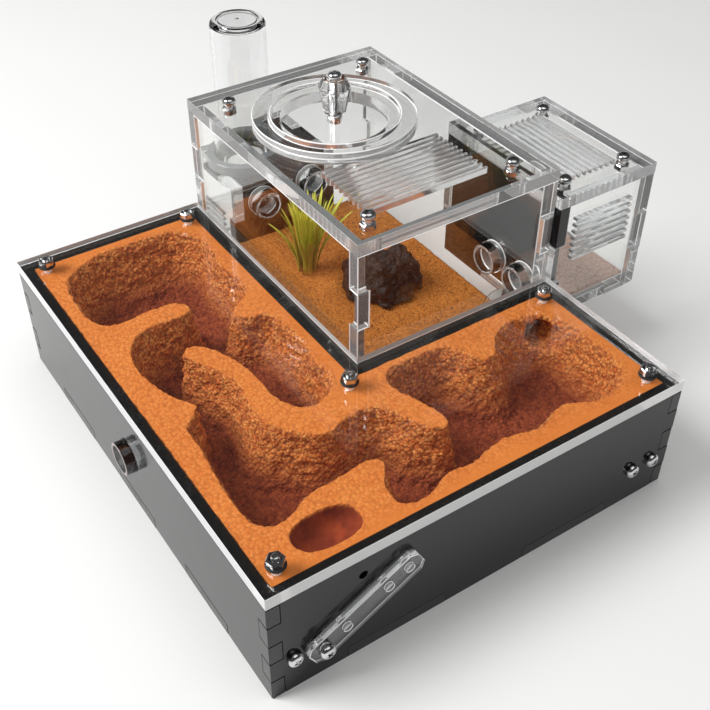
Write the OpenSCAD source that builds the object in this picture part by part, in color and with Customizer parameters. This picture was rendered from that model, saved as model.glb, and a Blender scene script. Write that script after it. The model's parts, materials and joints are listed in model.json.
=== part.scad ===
// A habitat for keeping ants, made of acrylic sheet boxes that stand against one another.
// A low L-shaped nest holds a carved plaster block under a clear lid. A tall clear foraging box
// stands in the corner of the L, a small box hangs on its side ports and a water box stands behind.
// All places are measured from the front left bottom corner of the nest: X right, Y back, Z up.

/* [Sheets and fits] */
// Thickness of the acrylic sheets
sheet = 5; // [4:0.5:6]
// Gap cut away beside each finger and tab
kerf = 0.05; // [0.02:0.01:0.15]
// Gap between neighbouring boxes
module_gap = 0.3; // [0.2:0.1:1]
// Extra radius of a hole around a screw, stud or tube
hole_slack = 0.1; // [0.05:0.05:0.3]
// Gap between a loose filling and the walls around it
fill_slack = 0.2; // [0.1:0.1:1]
// Radial play of the swing bar on its screw
pivot_slack = 0.08; // [0.02:0.01:0.1]

/* [Nest] */
// Width of the nest along X
nest_w = 172; // [168:1:200]
// Depth of the nest along Y
nest_d = 199; // [194:1:230]
// Height of the nest walls below the lid
nest_wall_h = 46.2; // [46:0.1:60]
// Width of the arm that runs back
arm_w = 81.5; // [79:0.5:95]
// Depth of the arm that runs across the front
arm_d = 74; // [72:0.5:90]
// Fingers up each corner of the nest
nest_fingers = 5; // [3:2:9]
// Width of the floor tabs in the front panel
front_tab_w = 40; // [20:1:60]
// Spacing of the floor tabs in the front panel
front_tab_pitch = 74.5; // [65:0.5:90]
// Width of the other floor tabs of the nest
nest_tab_w = 30; // [15:1:40]
// Spacing of the floor tabs in the left panel
left_tab_pitch = 55; // [45:0.5:65]

/* [Plaster galleries] */
// Depth of the galleries below the plaster's top
gallery_depth = 24; // [15:0.5:32]
// Widest slope from the rim of a gallery to its floor
gallery_slope = 15; // [8:0.5:18]
// Place of the water dish along X
dish_x = 31; // [28:0.5:36]
// Place of the water dish along Y
dish_y = 15.5; // [14:0.5:18]
// Length of the water dish
dish_len = 25; // [18:0.5:28]
// Width of the water dish
dish_w = 15; // [10:0.5:16]
// Depth of the water dish
dish_depth = 8; // [4:0.5:14]

/* [Fasteners] */
// Radius of the studs and screws
screw_r = 1.5; // [1.2:0.1:1.7]
// Radius of a screw head
head_r = 2.8; // [2.4:0.1:3.2]
// Height of a screw head
head_h = 2.4; // [1.8:0.1:3]
// Width of a nut across its flats
nut_flats = 5.5; // [5:0.1:6.5]
// Height of a nut
nut_h = 2.4; // [1.8:0.1:3]
// Thickness of the washer under a nut
washer_h = 1; // [0.5:0.1:2]
// Radius of the washer under a nut
washer_r = 3.4; // [3:0.1:4]
// Length of thread that stands out past a nut
thread_end = 1; // [0.5:0.1:3]
// Place of the nest studs from the outer faces
stud_inset = 9.3; // [9:0.1:10.5]
// Place of the foraging lid screws from the outer faces
forage_screw_inset = 12.6; // [9:0.1:15]
// Place of the side lid screws from the outer faces
side_screw_inset = 9.3; // [9:0.1:12]
// Height of the front screws on the front panel
front_screw_z = 16; // [11:0.5:24]
// Place of the outer front screws from the ends of the front panel
front_screw_inset = 8.6; // [8:0.1:9.5]
// Spacing of the two front screws of a pair
front_screw_pitch = 10; // [9.5:0.5:14]

/* [Swing bar] */
// Length of the swing bar
bar_len = 47; // [42:1:60]
// Width of the swing bar
bar_w = 10.4; // [8:0.2:12]
// Thickness of the swing bar
bar_t = 2.6; // [2:0.1:4]
// Length of the bar behind its pivot
bar_tail = 5.5; // [5:0.1:6]
// Corner cut at the ends of the bar
bar_corner = 2.4; // [1:0.1:3.5]
// Slope of the bar at rest
bar_angle = 29; // [0:1:50]
// Gap between the bar and the panel, and between the bar and the screw's head
bar_gap = 0.3; // [0.1:0.1:0.6]
// Radius of the holes in the bar
bar_hole_r = 1.6; // [1:0.1:2]
// Place of the first hole from the pivot
bar_hole_near = 9.6; // [8:0.2:14]
// Place of the middle hole from the pivot
bar_hole_mid = 27.7; // [20:0.1:30]
// Place of the last hole from the pivot
bar_hole_far = 36.5; // [35:0.1:50]
// Slope at which the middle hole meets the hole in the panel
lock_angle = 55; // [50:1:60]

/* [Ports and tubes] */
// Outer radius of every tube
tube_r = 6.5; // [6:0.1:7]
// Bore radius of every tube
bore_r = 5.2; // [4.5:0.1:5.5]
// Length of a tube that stands out of a wall
tube_reach = 4; // [2:0.5:6]
// Length of a tube that enters the plaster
tube_seat = 3; // [2:0.5:6]
// Place of the left port along Y
left_port_y = 99.5; // [96:0.5:104]
// Height of the left port
left_port_z = 25.6; // [24:0.1:32]
// Width of the ways bored in the plaster beyond the bore of a tube
way_slack = 0.4; // [0.2:0.1:1]
// Place of the tunnel from the right side of the nest
tunnel_inset = 16.2; // [16:0.2:18]
// Height of the tunnel
tunnel_z = 38.2; // [37:0.1:38.4]
// Length of the tunnel inside the foraging box
tunnel_reach = 8; // [4:0.5:9]
// Height of the two side ports
side_port_z = 46; // [44:0.5:60]
// Place of the middle of the side ports behind the front of the side box
side_port_back = 24; // [23:0.5:30]
// Spacing of the side ports
side_port_pitch = 18; // [15:0.5:20]
// Height of the two rear ports
rear_port_z = 43; // [40:0.5:43]
// Place of the middle of the rear ports, as a share of the foraging box's width
rear_port_share = 0.492; // [0.46:0.002:0.52]
// Spacing of the rear ports
rear_port_pitch = 21.6; // [16:0.1:24]

/* [Foraging box] */
// Height of the foraging walls below the lid
forage_wall_h = 95.2; // [85:0.1:120]
// Fingers up each corner of the foraging box
forage_fingers = 6; // [4:2:10]
// Width of the floor tabs of the foraging box
forage_tab_w = 24; // [12:1:30]
// Height of the sand above the floor sheet
sand_h = 22; // [12:0.5:24]
// Number of vent slots in the foraging lid
vent_slots = 11; // [3:1:12]
// Depth of the vent in the foraging lid, as a share of the box's depth
vent_depth_share = 0.24; // [0.18:0.01:0.26]
// Length of the vent slots in the foraging lid, as a share of the box's width
vent_len_share = 0.594; // [0.3:0.002:0.64]
// Place of the middle of the vent along X, as a share of the box's width
vent_x_share = 0.459; // [0.44:0.001:0.5]
// Place of the middle of the vent along Y, as a share of the box's depth
vent_y_share = 0.248; // [0.24:0.001:0.25]
// Spacing of the vent slots in the small boxes
slot_pitch = 3; // [2.6:0.1:4]
// Width of all vent slots
slot_w = 1.4; // [0.8:0.1:1.8]

/* [Hatch] */
// Place of the hatch along X, as a share of the foraging box's width
hatch_x_share = 0.437; // [0.42:0.001:0.5]
// Place of the hatch along Y, as a share of the foraging box's depth
hatch_y_share = 0.6015; // [0.6:0.0005:0.64]
// Outer radius of the guide ring, as a share of the foraging box's width
hatch_ring_share = 0.36; // [0.33:0.002:0.366]
// Width of the guide ring
hatch_ring_w = 6.6; // [4:0.1:8]
// Gap between the cover and the guide ring
hatch_gap = 0.3; // [0.2:0.1:1]
// Width of the rim of the lid that bears the cover
hatch_ledge = 4.4; // [3:0.1:8]
// Width of the knob across its base
knob_base = 9; // [8:0.1:12]
// Width of the knob at its widest
knob_top = 13.4; // [12.1:0.1:16]
// Height of the knob up to its widest
knob_rise = 10.5; // [8:0.1:16]
// Height of the bevel on top of the knob
knob_bevel = 3.5; // [2:0.1:5]

/* [Side box] */
// Width of the side box along X
side_w = 49.5; // [44:0.5:60]
// Depth of the side box along Y
side_d = 66.5; // [62:0.5:80]
// Reach of the side box past the back of the front arm
side_lead = 2.5; // [1:0.5:6]
// Height of the side box's underside above the ground
side_z = 30; // [22:0.5:32]
// Height of the side walls below the lid
side_wall_h = 53.2; // [46:0.1:70]
// Fingers up each corner of the side box
side_fingers = 3; // [3:2:7]
// Width of the floor tabs of the side box
side_tab_w = 16; // [8:1:24]
// Number of vent slots in the side walls
side_wall_slots = 7; // [2:1:8]
// Length of the vent slots in the side walls
side_wall_slot_len = 30; // [12:0.5:34]
// Height of the middle vent slot above the box's underside
side_wall_slot_z = 36; // [34:0.5:36]
// Number of vent slots in the side lid
side_lid_slots = 9; // [3:1:10]
// Length of the vent slots in the side lid
side_lid_slot_len = 46; // [20:0.5:50]
// Thickness of the mat on the floor of the side box
mat_h = 1.2; // [0.6:0.1:3]

/* [Water box] */
// Width of the water box along X
water_w = 49.5; // [48:0.5:60]
// Depth of the water box along Y
water_d = 41.7; // [38:0.1:50]
// Height of the water box
water_h = 52.5; // [52.5:0.1:60]
// Thickness of the water box's top plate
water_top_t = 3; // [2:0.1:3]
// Fingers up each corner of the water box
water_fingers = 3; // [3:2:7]
// Width of the floor tabs of the water box
water_tab_w = 14; // [8:1:20]
// Number of vent slots in the water box's sides
water_slots = 6; // [2:1:8]
// Length of the vent slots in the water box's sides
water_slot_len = 18; // [8:0.5:24]

/* [Water bottle] */
// Place of the bottle from the left side of the water box
bottle_in = 16.5; // [16.5:0.1:30]
// Place of the bottle behind the water box's front
bottle_back = 20.5; // [19:0.1:23]
// Outer radius of the bottle
bottle_r = 12; // [10:0.1:12]
// Height of the bottle above the top plate
bottle_h = 65.5; // [40:0.5:80]
// Wall of the bottle
bottle_wall = 1; // [0.8:0.1:1.5]
// Radius of the rounding at the bottle's ends
bottle_round = 2.4; // [1.6:0.1:3]
// Outer radius of the bottle's neck
neck_r = 8.5; // [7:0.1:9]
// Length of the bottle's neck below the top plate's upper face
neck_len = 9; // [6:0.5:12]
// Outer radius of the collar around the bottle
collar_r = 16; // [14.5:0.1:17]
// Height of the collar
collar_h = 5; // [3:0.5:8]
// Gap around the bottle and its neck
bottle_gap = 0.3; // [0.2:0.1:0.6]

/* [Rock and plant] */
// Place of the rock along X, as a share of the foraging box's width
rock_x_share = 0.568; // [0.53:0.002:0.62]
// Place of the rock along Y, as a share of the foraging box's depth
rock_y_share = 0.479; // [0.42:0.001:0.49]
// Width of the rock
rock_w = 32; // [20:1:36]
// Height of the rock
rock_h = 20; // [12:0.5:30]
// Radius of the rock's rounded corners
rock_corner = 0.6; // [0.3:0.1:1]
// Place of the plant along X, as a share of the foraging box's width
plant_x_share = 0.39; // [0.34:0.002:0.46]
// Place of the plant along Y, as a share of the foraging box's depth
plant_y_share = 0.687; // [0.67:0.001:0.73]
// Radius of the plant's root
root_r = 5; // [3:0.5:7]
// Height of the plant's root
root_h = 2; // [1:0.5:4]
// Number of blades of grass
blade_count = 18; // [6:1:24]
// Length of the longest blade
blade_len = 42; // [24:1:60]
// Width of a blade at its root
blade_w = 2.2; // [1.4:0.1:3]
// Thickness of a blade at its tip
blade_t = 0.3; // [0.2:0.05:0.6]
// Reach of the outer blades to the side
blade_lean = 14; // [6:0.5:18]

/* [Hidden] */
$fn = 48;
over = 1; // how far a cut runs past the face that it opens
forage_x = arm_w + module_gap;
forage_y = arm_d + module_gap;
forage_w = nest_w - forage_x;
forage_d = nest_d - forage_y;
side_x = nest_w + module_gap;
side_y = arm_d - side_lead;
side_port_mid = side_y + side_port_back;
tunnel_x = nest_w - tunnel_inset;
rear_port_mid = forage_x + rear_port_share * forage_w;
water_x = rear_port_mid - water_w / 2;
water_y = nest_d + module_gap;
vent_x = forage_x + vent_x_share * forage_w;
vent_y = forage_y + vent_y_share * forage_d;
vent_len = vent_len_share * forage_w;
vent_pitch = vent_depth_share * forage_d / (vent_slots - 1);
hatch_x = forage_x + hatch_x_share * forage_w;
hatch_y = forage_y + hatch_y_share * forage_d;
hatch_ring_r = hatch_ring_share * forage_w;
hatch_guide_r = hatch_ring_r - hatch_ring_w;
hatch_hole_r = hatch_guide_r - hatch_ledge;
rock_x = forage_x + rock_x_share * forage_w;
rock_y = forage_y + rock_y_share * forage_d;
plant_x = forage_x + plant_x_share * forage_w;
plant_y = forage_y + plant_y_share * forage_d;
bottle_x = water_x + bottle_in;
way_r = bore_r + way_slack;
nest_top = nest_wall_h + sheet;
forage_top = forage_wall_h + sheet;
side_top = side_z + side_wall_h + sheet;
plaster_top = nest_wall_h - fill_slack;
sand_top = sheet + sand_h;
cover_top = forage_top + sheet;
knob_h = knob_rise + knob_bevel;
bottle_y = water_y + bottle_back;
bar_back = -bar_gap;
bar_front = bar_back - bar_t;
pivot_x = front_screw_inset + front_screw_pitch;
head_front = bar_front - bar_gap - head_h;
origin_x = (side_x + side_w - tube_reach) / 2;
origin_y = (water_y + water_d + head_front) / 2;

// Studs of the nest, at the corners of the L
stud_places = [
    [stud_inset, stud_inset],
    [nest_w - stud_inset, stud_inset],
    [nest_w - stud_inset, arm_d - stud_inset],
    [arm_w - stud_inset, arm_d - stud_inset],
    [arm_w - stud_inset, nest_d - stud_inset],
    [stud_inset, nest_d - stud_inset]
];

// Floor tabs in a wall: how many, how wide, how far apart
front_tabs = [2, front_tab_w, front_tab_pitch];
left_tabs = [3, nest_tab_w, left_tab_pitch];
single_nest_tab = [1, nest_tab_w, 0];
forage_tabs_w = [1, forage_tab_w, 0];
forage_tabs_d = [2, forage_tab_w, 2 * forage_tab_w];
side_tabs = [1, side_tab_w, 0];
water_tabs = [1, water_tab_w, 0];

// Rim of the galleries seen from above, clockwise, drawn on a nest of the plan's sizes
plan_w = 172;
plan_d = 199;
plan_arm_w = 81.5;
plan_arm_d = 74;
gallery_rim = [
    [12, 179], [19, 185], [30, 190], [45, 190.5], [63, 189], [70.5, 181], [73, 170], [70, 159],
    [71, 148], [72, 139], [69, 132.5], [63, 129], [58, 124.5], [63, 120], [70, 118], [72, 110],
    [73, 95], [70, 85], [71.5, 77], [68.5, 69], [60, 64], [53, 65], [48, 73], [47, 83], [47, 93],
    [44, 104], [39.5, 113], [34, 116], [32, 111], [37, 102], [40.5, 93], [41, 85], [39, 76],
    [39, 67], [43, 60], [49.5, 52.5], [55, 50.5], [64, 54], [73, 53.5], [79, 48.5], [81.5, 40],
    [85.5, 33], [90, 31], [91.5, 35], [89, 44], [85.5, 53], [84.5, 61], [90, 66], [100, 66.5],
    [112, 65.5], [119, 60], [121.5, 51.5], [128, 52], [133, 59], [144, 63.5], [155, 61],
    [161.5, 52], [163, 40], [163, 28], [160.5, 18], [153, 12], [141, 10.5], [131, 16], [123, 14],
    [115.5, 11.5], [101.5, 15], [86, 11.5], [77, 13], [69, 9.5], [61, 8], [55, 12], [56.5, 21],
    [61.5, 28.5], [57, 32], [45, 30.5], [34, 30], [27, 26.5], [19, 24], [12.5, 28.5], [11, 36],
    [12, 53], [14, 67], [14.5, 79], [22.5, 86], [17.5, 95], [14, 107], [13.5, 118], [17, 129],
    [23, 134], [33, 135.5], [42, 134.5], [46, 138], [42, 143], [32, 143.5], [20, 142.5],
    [13, 145.5], [10, 153], [10, 166]
];
// Lines that run along the middle of the galleries, towards which their walls lean
gallery_spine = [
    [[24, 165], [45, 167], [57, 160], [58, 145], [52, 132], [50, 121], [58, 108], [60, 95], [60, 78]],
    [[50, 121], [36, 125], [25, 118], [25, 104], [30, 92], [27, 78], [24, 60], [25, 43], [38, 41],
        [52, 41], [65, 39], [73, 29], [88, 22], [104, 28], [116, 35], [130, 36], [146, 37]],
    [[104, 28], [107, 42], [102, 57]],
    [[73, 29], [66, 19]]
];
// Shares of the depth and of the slope that the gallery wall has reached, from rim to floor
gallery_profile = [[0, 0], [0.06, 0.1], [0.35, 0.27], [0.75, 0.56], [1, 1]];
gallery_lean = 0.82; // share of the way to the spine that a floor may reach where it is narrow
rim_steps = 2; // points laid on the smooth curve for each point of the rim
dish_points = 32;
dish_power = 0.8; // below 1 makes the dish's ends blunter than an ellipse's
dish_profile = [[0, 0], [0.45, 0.12], [0.75, 0.28], [0.93, 0.5], [1, 0.72]];
// Corners of the rock's two lumps: X and Y as shares of its width, Z as a share of its height
rock_peaks = [
    [[-0.47, -0.09, 0], [-0.25, -0.41, 0], [0.19, -0.44, 0], [0.38, -0.19, 0], [0.28, 0.28, 0],
        [-0.19, 0.41, 0], [-0.41, -0.06, 0.5], [-0.19, -0.28, 0.75], [0.09, -0.25, 0.8],
        [0.19, 0.09, 0.7], [-0.16, 0.22, 0.85], [-0.09, 0, 1]],
    [[0.38, -0.41, 0], [0.53, -0.12, 0], [0.47, 0.25, 0], [0.19, 0.31, 0], [0.25, -0.28, 0.5],
        [0.44, -0.12, 0.6], [0.31, 0.16, 0.78], [0.16, -0.06, 0.72]]
];

// Round of a screw's head, as shares of its radius and height, and its cross recess
head_profile = [[0, 0], [1, 0], [1, 0.45], [0.85, 0.8], [0.55, 1], [0, 1]];
recess_len = 1.1;
recess_w = 0.26;
recess_depth = 0.45;
// Heights along a blade of grass, how far it droops, and how it narrows
blade_steps = [0, 0.3, 0.6, 0.85, 1];
blade_droop = 0.12;
blade_tip = 0.1;
blade_fold = 0.3;
blade_turn = 137.5; // angle from each blade to the next
blade_spread = 0.6; // share of the root's radius that the blades stand on
inner_lean = 0.2; // reach of the innermost blade as a share of the outer ones'
blade_shrink = 0.4; // share by which the outer blades are shorter

black = [0.09, 0.09, 0.1];
clear = [0.85, 0.92, 0.95, 0.35];
steel = [0.75, 0.76, 0.78];
clay = [0.86, 0.45, 0.2];

// Moves the whole habitat so that its origin lies under the middle of it
module placed() translate([-origin_x, -origin_y, 0]) children();

// ---- Sheets joined by fingers and tabs ----

function tab_starts(len, tabs) =
    [for (i = [0:1:tabs[0] - 1]) len / 2 + (i - (tabs[0] - 1) / 2) * tabs[2] - tabs[1] / 2];

// Outline of a wall. Segments of each end whose number has the parity keep stay, the rest is cut
// for the neighbour's fingers, and the foot has a notch for each floor tab.
module wall_outline(len, height, fingers, keep, tabs) {
    finger = height / fingers;
    difference() {
        square([len, height]);
        for (i = [0:fingers - 1]) if (i % 2 != keep) for (x = [-over, len - sheet])
            translate([x, i * finger - kerf]) square([sheet + over, finger + 2 * kerf]);
        for (s = tab_starts(len, tabs))
            translate([s - kerf, -over]) square([tabs[1] + 2 * kerf, sheet + over]);
    }
}

// A wall across the view: its face looks along Y. Children are cut out of it.
module wall_across(x, y, z, len, height, fingers, tabs)
    translate([x, y + sheet, z]) rotate([90, 0, 0]) linear_extrude(sheet) difference() {
        wall_outline(len, height, fingers, 1, tabs);
        children();
    }

// A wall along the view: its face looks along X. Children are cut out of it.
module wall_along(x, y, z, len, height, fingers, tabs)
    translate([x, y, z]) rotate([90, 0, 90]) linear_extrude(sheet) difference() {
        wall_outline(len, height, fingers, 0, tabs);
        children();
    }

// Floor between four walls, with strips that end as tabs in them
module tabbed_floor(x, y, w, d, tabs_w, tabs_d) {
    translate([x + sheet, y + sheet]) square([w - 2 * sheet, d - 2 * sheet]);
    for (s = tab_starts(w, tabs_w)) translate([x + s, y]) square([tabs_w[1], d]);
    for (s = tab_starts(d, tabs_d)) translate([x, y + s]) square([w, tabs_d[1]]);
}

// A slot with round ends, centred, along its own X
module slot(len, width) {
    square([len - width, width], center = true);
    for (x = [-1, 1]) translate([x * (len - width) / 2, 0]) circle(d = width);
}

module slot_row(count, len, pitch = slot_pitch) for (i = [0:count - 1])
    translate([0, (i - (count - 1) / 2) * pitch]) slot(len, slot_w);

module port_hole() circle(r = tube_r + hole_slack);

// ---- Fasteners and tubes ----

// A screw that points down, its head standing on the plane z = 0
module pan_screw(shank) {
    difference() {
        rotate_extrude() polygon([for (p = head_profile) [p[0] * head_r, p[1] * head_h]]);
        for (turn = [0, 90]) rotate(turn) translate([0, 0, head_h]) cube([recess_len * head_r,
            recess_w * head_r, recess_depth * head_h * 2], center = true);
    }
    translate([0, 0, -shank]) cylinder(r = screw_r, h = shank);
}

module hex_nut() difference() {
    cylinder(d = nut_flats / cos(30), h = nut_h, $fn = 6);
    translate([0, 0, -over]) cylinder(r = screw_r + hole_slack, h = nut_h + 2 * over);
}

module tube(len) difference() {
    cylinder(r = tube_r, h = len);
    translate([0, 0, -over]) cylinder(r = bore_r, h = len + 2 * over);
}

module corner_places(x, y, w, d, inset)
    for (px = [x + inset, x + w - inset], py = [y + inset, y + d - inset])
        translate([px, py, 0]) children();

// ---- Nest ----

module nest_plan(grow) {
    lo = sheet - grow;
    difference() {
        translate([lo, lo]) square([nest_w - 2 * lo, nest_d - 2 * lo]);
        translate([arm_w - lo, arm_d - lo]) square([nest_w, nest_d]);
    }
}

module stud_holes(slack) for (p = stud_places)
    translate([p.x, p.y, -over]) cylinder(r = screw_r + slack, h = nest_top + 2 * over);

module nest_floor() color(black) difference() {
    linear_extrude(sheet) {
        nest_plan(0);
        for (s = tab_starts(nest_w, front_tabs))
            translate([s, 0]) square([front_tab_w, sheet + over]);
        for (s = tab_starts(nest_d, left_tabs))
            translate([0, s]) square([sheet + over, nest_tab_w]);
        for (s = tab_starts(arm_d, single_nest_tab))
            translate([nest_w - sheet - over, s]) square([sheet + over, nest_tab_w]);
        for (s = tab_starts(arm_w, single_nest_tab))
            translate([s, nest_d - sheet - over]) square([nest_tab_w, sheet + over]);
        for (s = tab_starts(nest_w - arm_w + sheet, single_nest_tab))
            translate([arm_w - sheet + s, arm_d - sheet - over])
                square([nest_tab_w, sheet + over]);
        for (s = tab_starts(nest_d - arm_d + sheet, single_nest_tab))
            translate([arm_w - sheet - over, arm_d - sheet + s])
                square([sheet + over, nest_tab_w]);
    }
    stud_holes(hole_slack);
    for (p = stud_places) translate([p.x, p.y, -over])
        cylinder(r = head_r + hole_slack, h = over + sheet / 2);
}

module nest_front_panel() color(black)
    wall_across(0, 0, 0, nest_w, nest_wall_h, nest_fingers, front_tabs) {
        for (x = [front_screw_inset, pivot_x, nest_w - front_screw_inset,
                nest_w - front_screw_inset - front_screw_pitch])
            translate([x, front_screw_z]) circle(r = screw_r + hole_slack);
        translate([pivot_x + bar_hole_mid * cos(lock_angle),
            front_screw_z + bar_hole_mid * sin(lock_angle)]) circle(r = screw_r + hole_slack);
    }

module nest_left_panel() color(black)
    wall_along(0, 0, 0, nest_d, nest_wall_h, nest_fingers, left_tabs)
        translate([left_port_y, left_port_z]) port_hole();

module nest_back_panel() color(black)
    wall_across(0, nest_d - sheet, 0, arm_w, nest_wall_h, nest_fingers, single_nest_tab);

module nest_right_panel() color(black)
    wall_along(nest_w - sheet, 0, 0, arm_d, nest_wall_h, nest_fingers, single_nest_tab);

module nest_inner_side_panel() color(black)
    wall_along(arm_w - sheet, arm_d - sheet, 0, nest_d - arm_d + sheet, nest_wall_h,
        nest_fingers, single_nest_tab);

module nest_inner_front_panel() color(black)
    wall_across(arm_w - sheet, arm_d - sheet, 0, nest_w - arm_w + sheet, nest_wall_h,
        nest_fingers, single_nest_tab)
        translate([tunnel_x - arm_w + sheet, tunnel_z]) port_hole();

module nest_lid() color(clear) difference() {
    translate([0, 0, nest_wall_h]) linear_extrude(sheet) nest_plan(sheet);
    stud_holes(hole_slack);
}

// ---- Carved plaster ----

// Stretches a place on the plan with the arms of the nest
function stretch(v, arm, whole, plan_arm, plan_whole) = v < plan_arm
    ? v * arm / plan_arm
    : arm + (v - plan_arm) * (whole - arm) / (plan_whole - plan_arm);
function on_nest(p) = [stretch(p.x, arm_w, nest_w, plan_arm_w, plan_w),
    stretch(p.y, arm_d, nest_d, plan_arm_d, plan_d)];

// A point on the smooth curve from b to c, with a before them and d after
function curve_point(a, b, c, d, t) = 0.5 * (2 * b + (c - a) * t
    + (2 * a - 5 * b + 4 * c - d) * t * t + (3 * b - a - 3 * c + d) * t * t * t);
function smooth_loop(points, steps) = let (n = len(points))
    [for (i = [0:n - 1], k = [0:steps - 1]) curve_point(points[(i + n - 1) % n], points[i],
        points[(i + 1) % n], points[(i + 2) % n], k / steps)];

// For each stretch of the spine, its point that is nearest to p
function foot(p, a, b) = let (d = b - a) a + max(0, min(1, (p - a) * d / (d * d))) * d;
function spine_feet(p) =
    [for (line = gallery_spine, i = [0:len(line) - 2]) foot(p, line[i], line[i + 1])];
// The nearest of them that lies inwards of the rim, whose inward direction at p is inward
function nearest(p, inward) = let (
        feet = [for (q = spine_feet(p)) if ((q - p) * inward > 0.1 * norm(q - p)) q],
        gaps = [for (q = feet) norm(q - p)])
    feet[search(min(gaps), gaps)[0]];
function inward_at(rim, i) = let (n = len(rim), way = rim[(i + 1) % n] - rim[(i + n - 1) % n])
    [way.y, -way.x] / norm(way);
// The way from each rim point to the middle of its gallery
function ways_in(rim) = [for (i = [0:len(rim) - 1]) nearest(rim[i], inward_at(rim, i)) - rim[i]];

// Triangles that fill a flat clockwise ring: corners that hold no other point are cut off one by one
function turned(a, b, c) = (b.x - a.x) * (c.y - a.y) - (b.y - a.y) * (c.x - a.x);
function is_ear(ring, left, k) = let (n = len(left), a = ring[left[(k + n - 1) % n]],
        b = ring[left[k]], c = ring[left[(k + 1) % n]])
    turned(a, b, c) < 0 && len([for (i = left) let (p = ring[i])
        if (turned(a, b, p) < 0 && turned(b, c, p) < 0 && turned(c, a, p) < 0) 1]) == 0;
function filling(ring, left, k = 0, done = []) = let (n = len(left))
    n == 3 ? concat(done, [left])
    : is_ear(ring, left, k) ? filling(ring, [for (i = [0:n - 1]) if (i != k) left[i]],
        (k + 1) % (n - 1), concat(done, [[left[(k + n - 1) % n], left[k], left[(k + 1) % n]]]))
    : filling(ring, left, (k + 1) % n, done);

// A closed solid through rings of equal length, each seen clockwise from above, from top to foot
module lofted(rings, heights) {
    n = len(rings[0]);
    last = len(rings) - 1;
    ring_order = [for (i = [0:n - 1]) i];
    polyhedron(
        points = [for (k = [0:last], p = rings[k]) [p.x, p.y, heights[k]]],
        faces = concat(
            filling(rings[0], ring_order),
            [for (k = [0:last - 1], i = [0:n - 1]) let (j = (i + 1) % n)
                each [[k * n + j, k * n + i, (k + 1) * n + i],
                    [k * n + j, (k + 1) * n + i, (k + 1) * n + j]]],
            [for (t = filling(rings[last], ring_order)) [for (i = [2, 1, 0]) last * n + t[i]]]));
}

module galleries() {
    rim = smooth_loop(gallery_rim, rim_steps);
    ways = ways_in(rim);
    rings = [for (s = gallery_profile) [for (i = [0:len(rim) - 1]) let (dist = norm(ways[i]))
        on_nest(rim[i] + ways[i] / dist * s[1] * min(gallery_slope, gallery_lean * dist))]];
    lofted(concat([rings[0]], rings),
        concat([plaster_top + over], [for (s = gallery_profile) plaster_top - s[0] * gallery_depth]));
}

module water_dish() {
    rings = [for (s = dish_profile) [for (i = [0:dish_points - 1])
        let (a = -i * 360 / dish_points, c = cos(a), q = sin(a))
        [dish_x + sign(c) * pow(abs(c), dish_power) * (dish_len / 2) * (1 - s[1]),
            dish_y + sign(q) * pow(abs(q), dish_power) * (dish_w / 2) * (1 - s[1])]]];
    lofted(concat([rings[0]], rings),
        concat([plaster_top + over], [for (s = dish_profile) plaster_top - s[0] * dish_depth]));
}

module nest_plaster() color(clay) difference() {
    translate([0, 0, sheet]) linear_extrude(plaster_top - sheet) nest_plan(-fill_slack);
    galleries();
    water_dish();
    stud_holes(fill_slack);
    // way in from the left port
    translate([0, left_port_y, left_port_z]) rotate([0, 90, 0]) {
        cylinder(r = tube_r + fill_slack, h = sheet + tube_seat + fill_slack);
        cylinder(r = way_r, h = arm_w / 3);
    }
    // way out to the foraging box
    translate([tunnel_x, arm_d, tunnel_z]) rotate([90, 0, 0]) {
        cylinder(r = tube_r + fill_slack, h = sheet + tube_seat + fill_slack);
        cylinder(r = way_r, h = arm_d / 3);
    }
}

// ---- Nest fasteners, port and swing bar ----

module lid_studs() color(steel) for (p = stud_places) translate([p.x, p.y, 0]) {
    translate([0, 0, fill_slack]) cylinder(r = head_r, h = sheet / 2 - fill_slack);
    translate([0, 0, fill_slack])
        cylinder(r = screw_r, h = nest_top + washer_h + nut_h + thread_end - fill_slack);
}

module lid_washers() color(black) for (p = stud_places) translate([p.x, p.y, nest_top])
    difference() {
        cylinder(r = washer_r, h = washer_h);
        translate([0, 0, -over]) cylinder(r = screw_r + hole_slack, h = washer_h + 2 * over);
    }

module lid_nuts() color(steel) for (p = stud_places)
    translate([p.x, p.y, nest_top + washer_h]) hex_nut();

module nest_port_tube() color(clear) translate([-tube_reach, left_port_y, left_port_z])
    rotate([0, 90, 0]) tube(tube_reach + sheet + tube_seat);

module front_screws() color(steel) for (x = [front_screw_inset, nest_w - front_screw_inset,
        nest_w - front_screw_inset - front_screw_pitch])
    translate([x, 0, front_screw_z]) rotate([90, 0, 0]) pan_screw(sheet);

module pivot_screw() color(steel) translate([pivot_x, head_front + head_h, front_screw_z])
    rotate([90, 0, 0]) pan_screw(sheet - head_front - head_h);

module swing_bar() color(clear)
    translate([pivot_x, bar_back, front_screw_z]) rotate([0, -bar_angle, 0]) rotate([90, 0, 0])
    linear_extrude(bar_t) difference() {
        tip = bar_len - bar_tail;
        half = bar_w / 2;
        polygon([[-bar_tail, bar_corner - half], [bar_corner - bar_tail, -half],
            [tip - bar_corner, -half], [tip, bar_corner - half], [tip, half - bar_corner],
            [tip - bar_corner, half], [bar_corner - bar_tail, half], [-bar_tail, half - bar_corner]]);
        circle(r = screw_r + pivot_slack);
        for (x = [bar_hole_near, bar_hole_mid, bar_hole_far]) translate([x, 0]) circle(r = bar_hole_r);
    }

// ---- Foraging box ----

module forage_floor() color(clear) linear_extrude(sheet)
    tabbed_floor(forage_x, forage_y, forage_w, forage_d, forage_tabs_w, forage_tabs_d);

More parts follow.
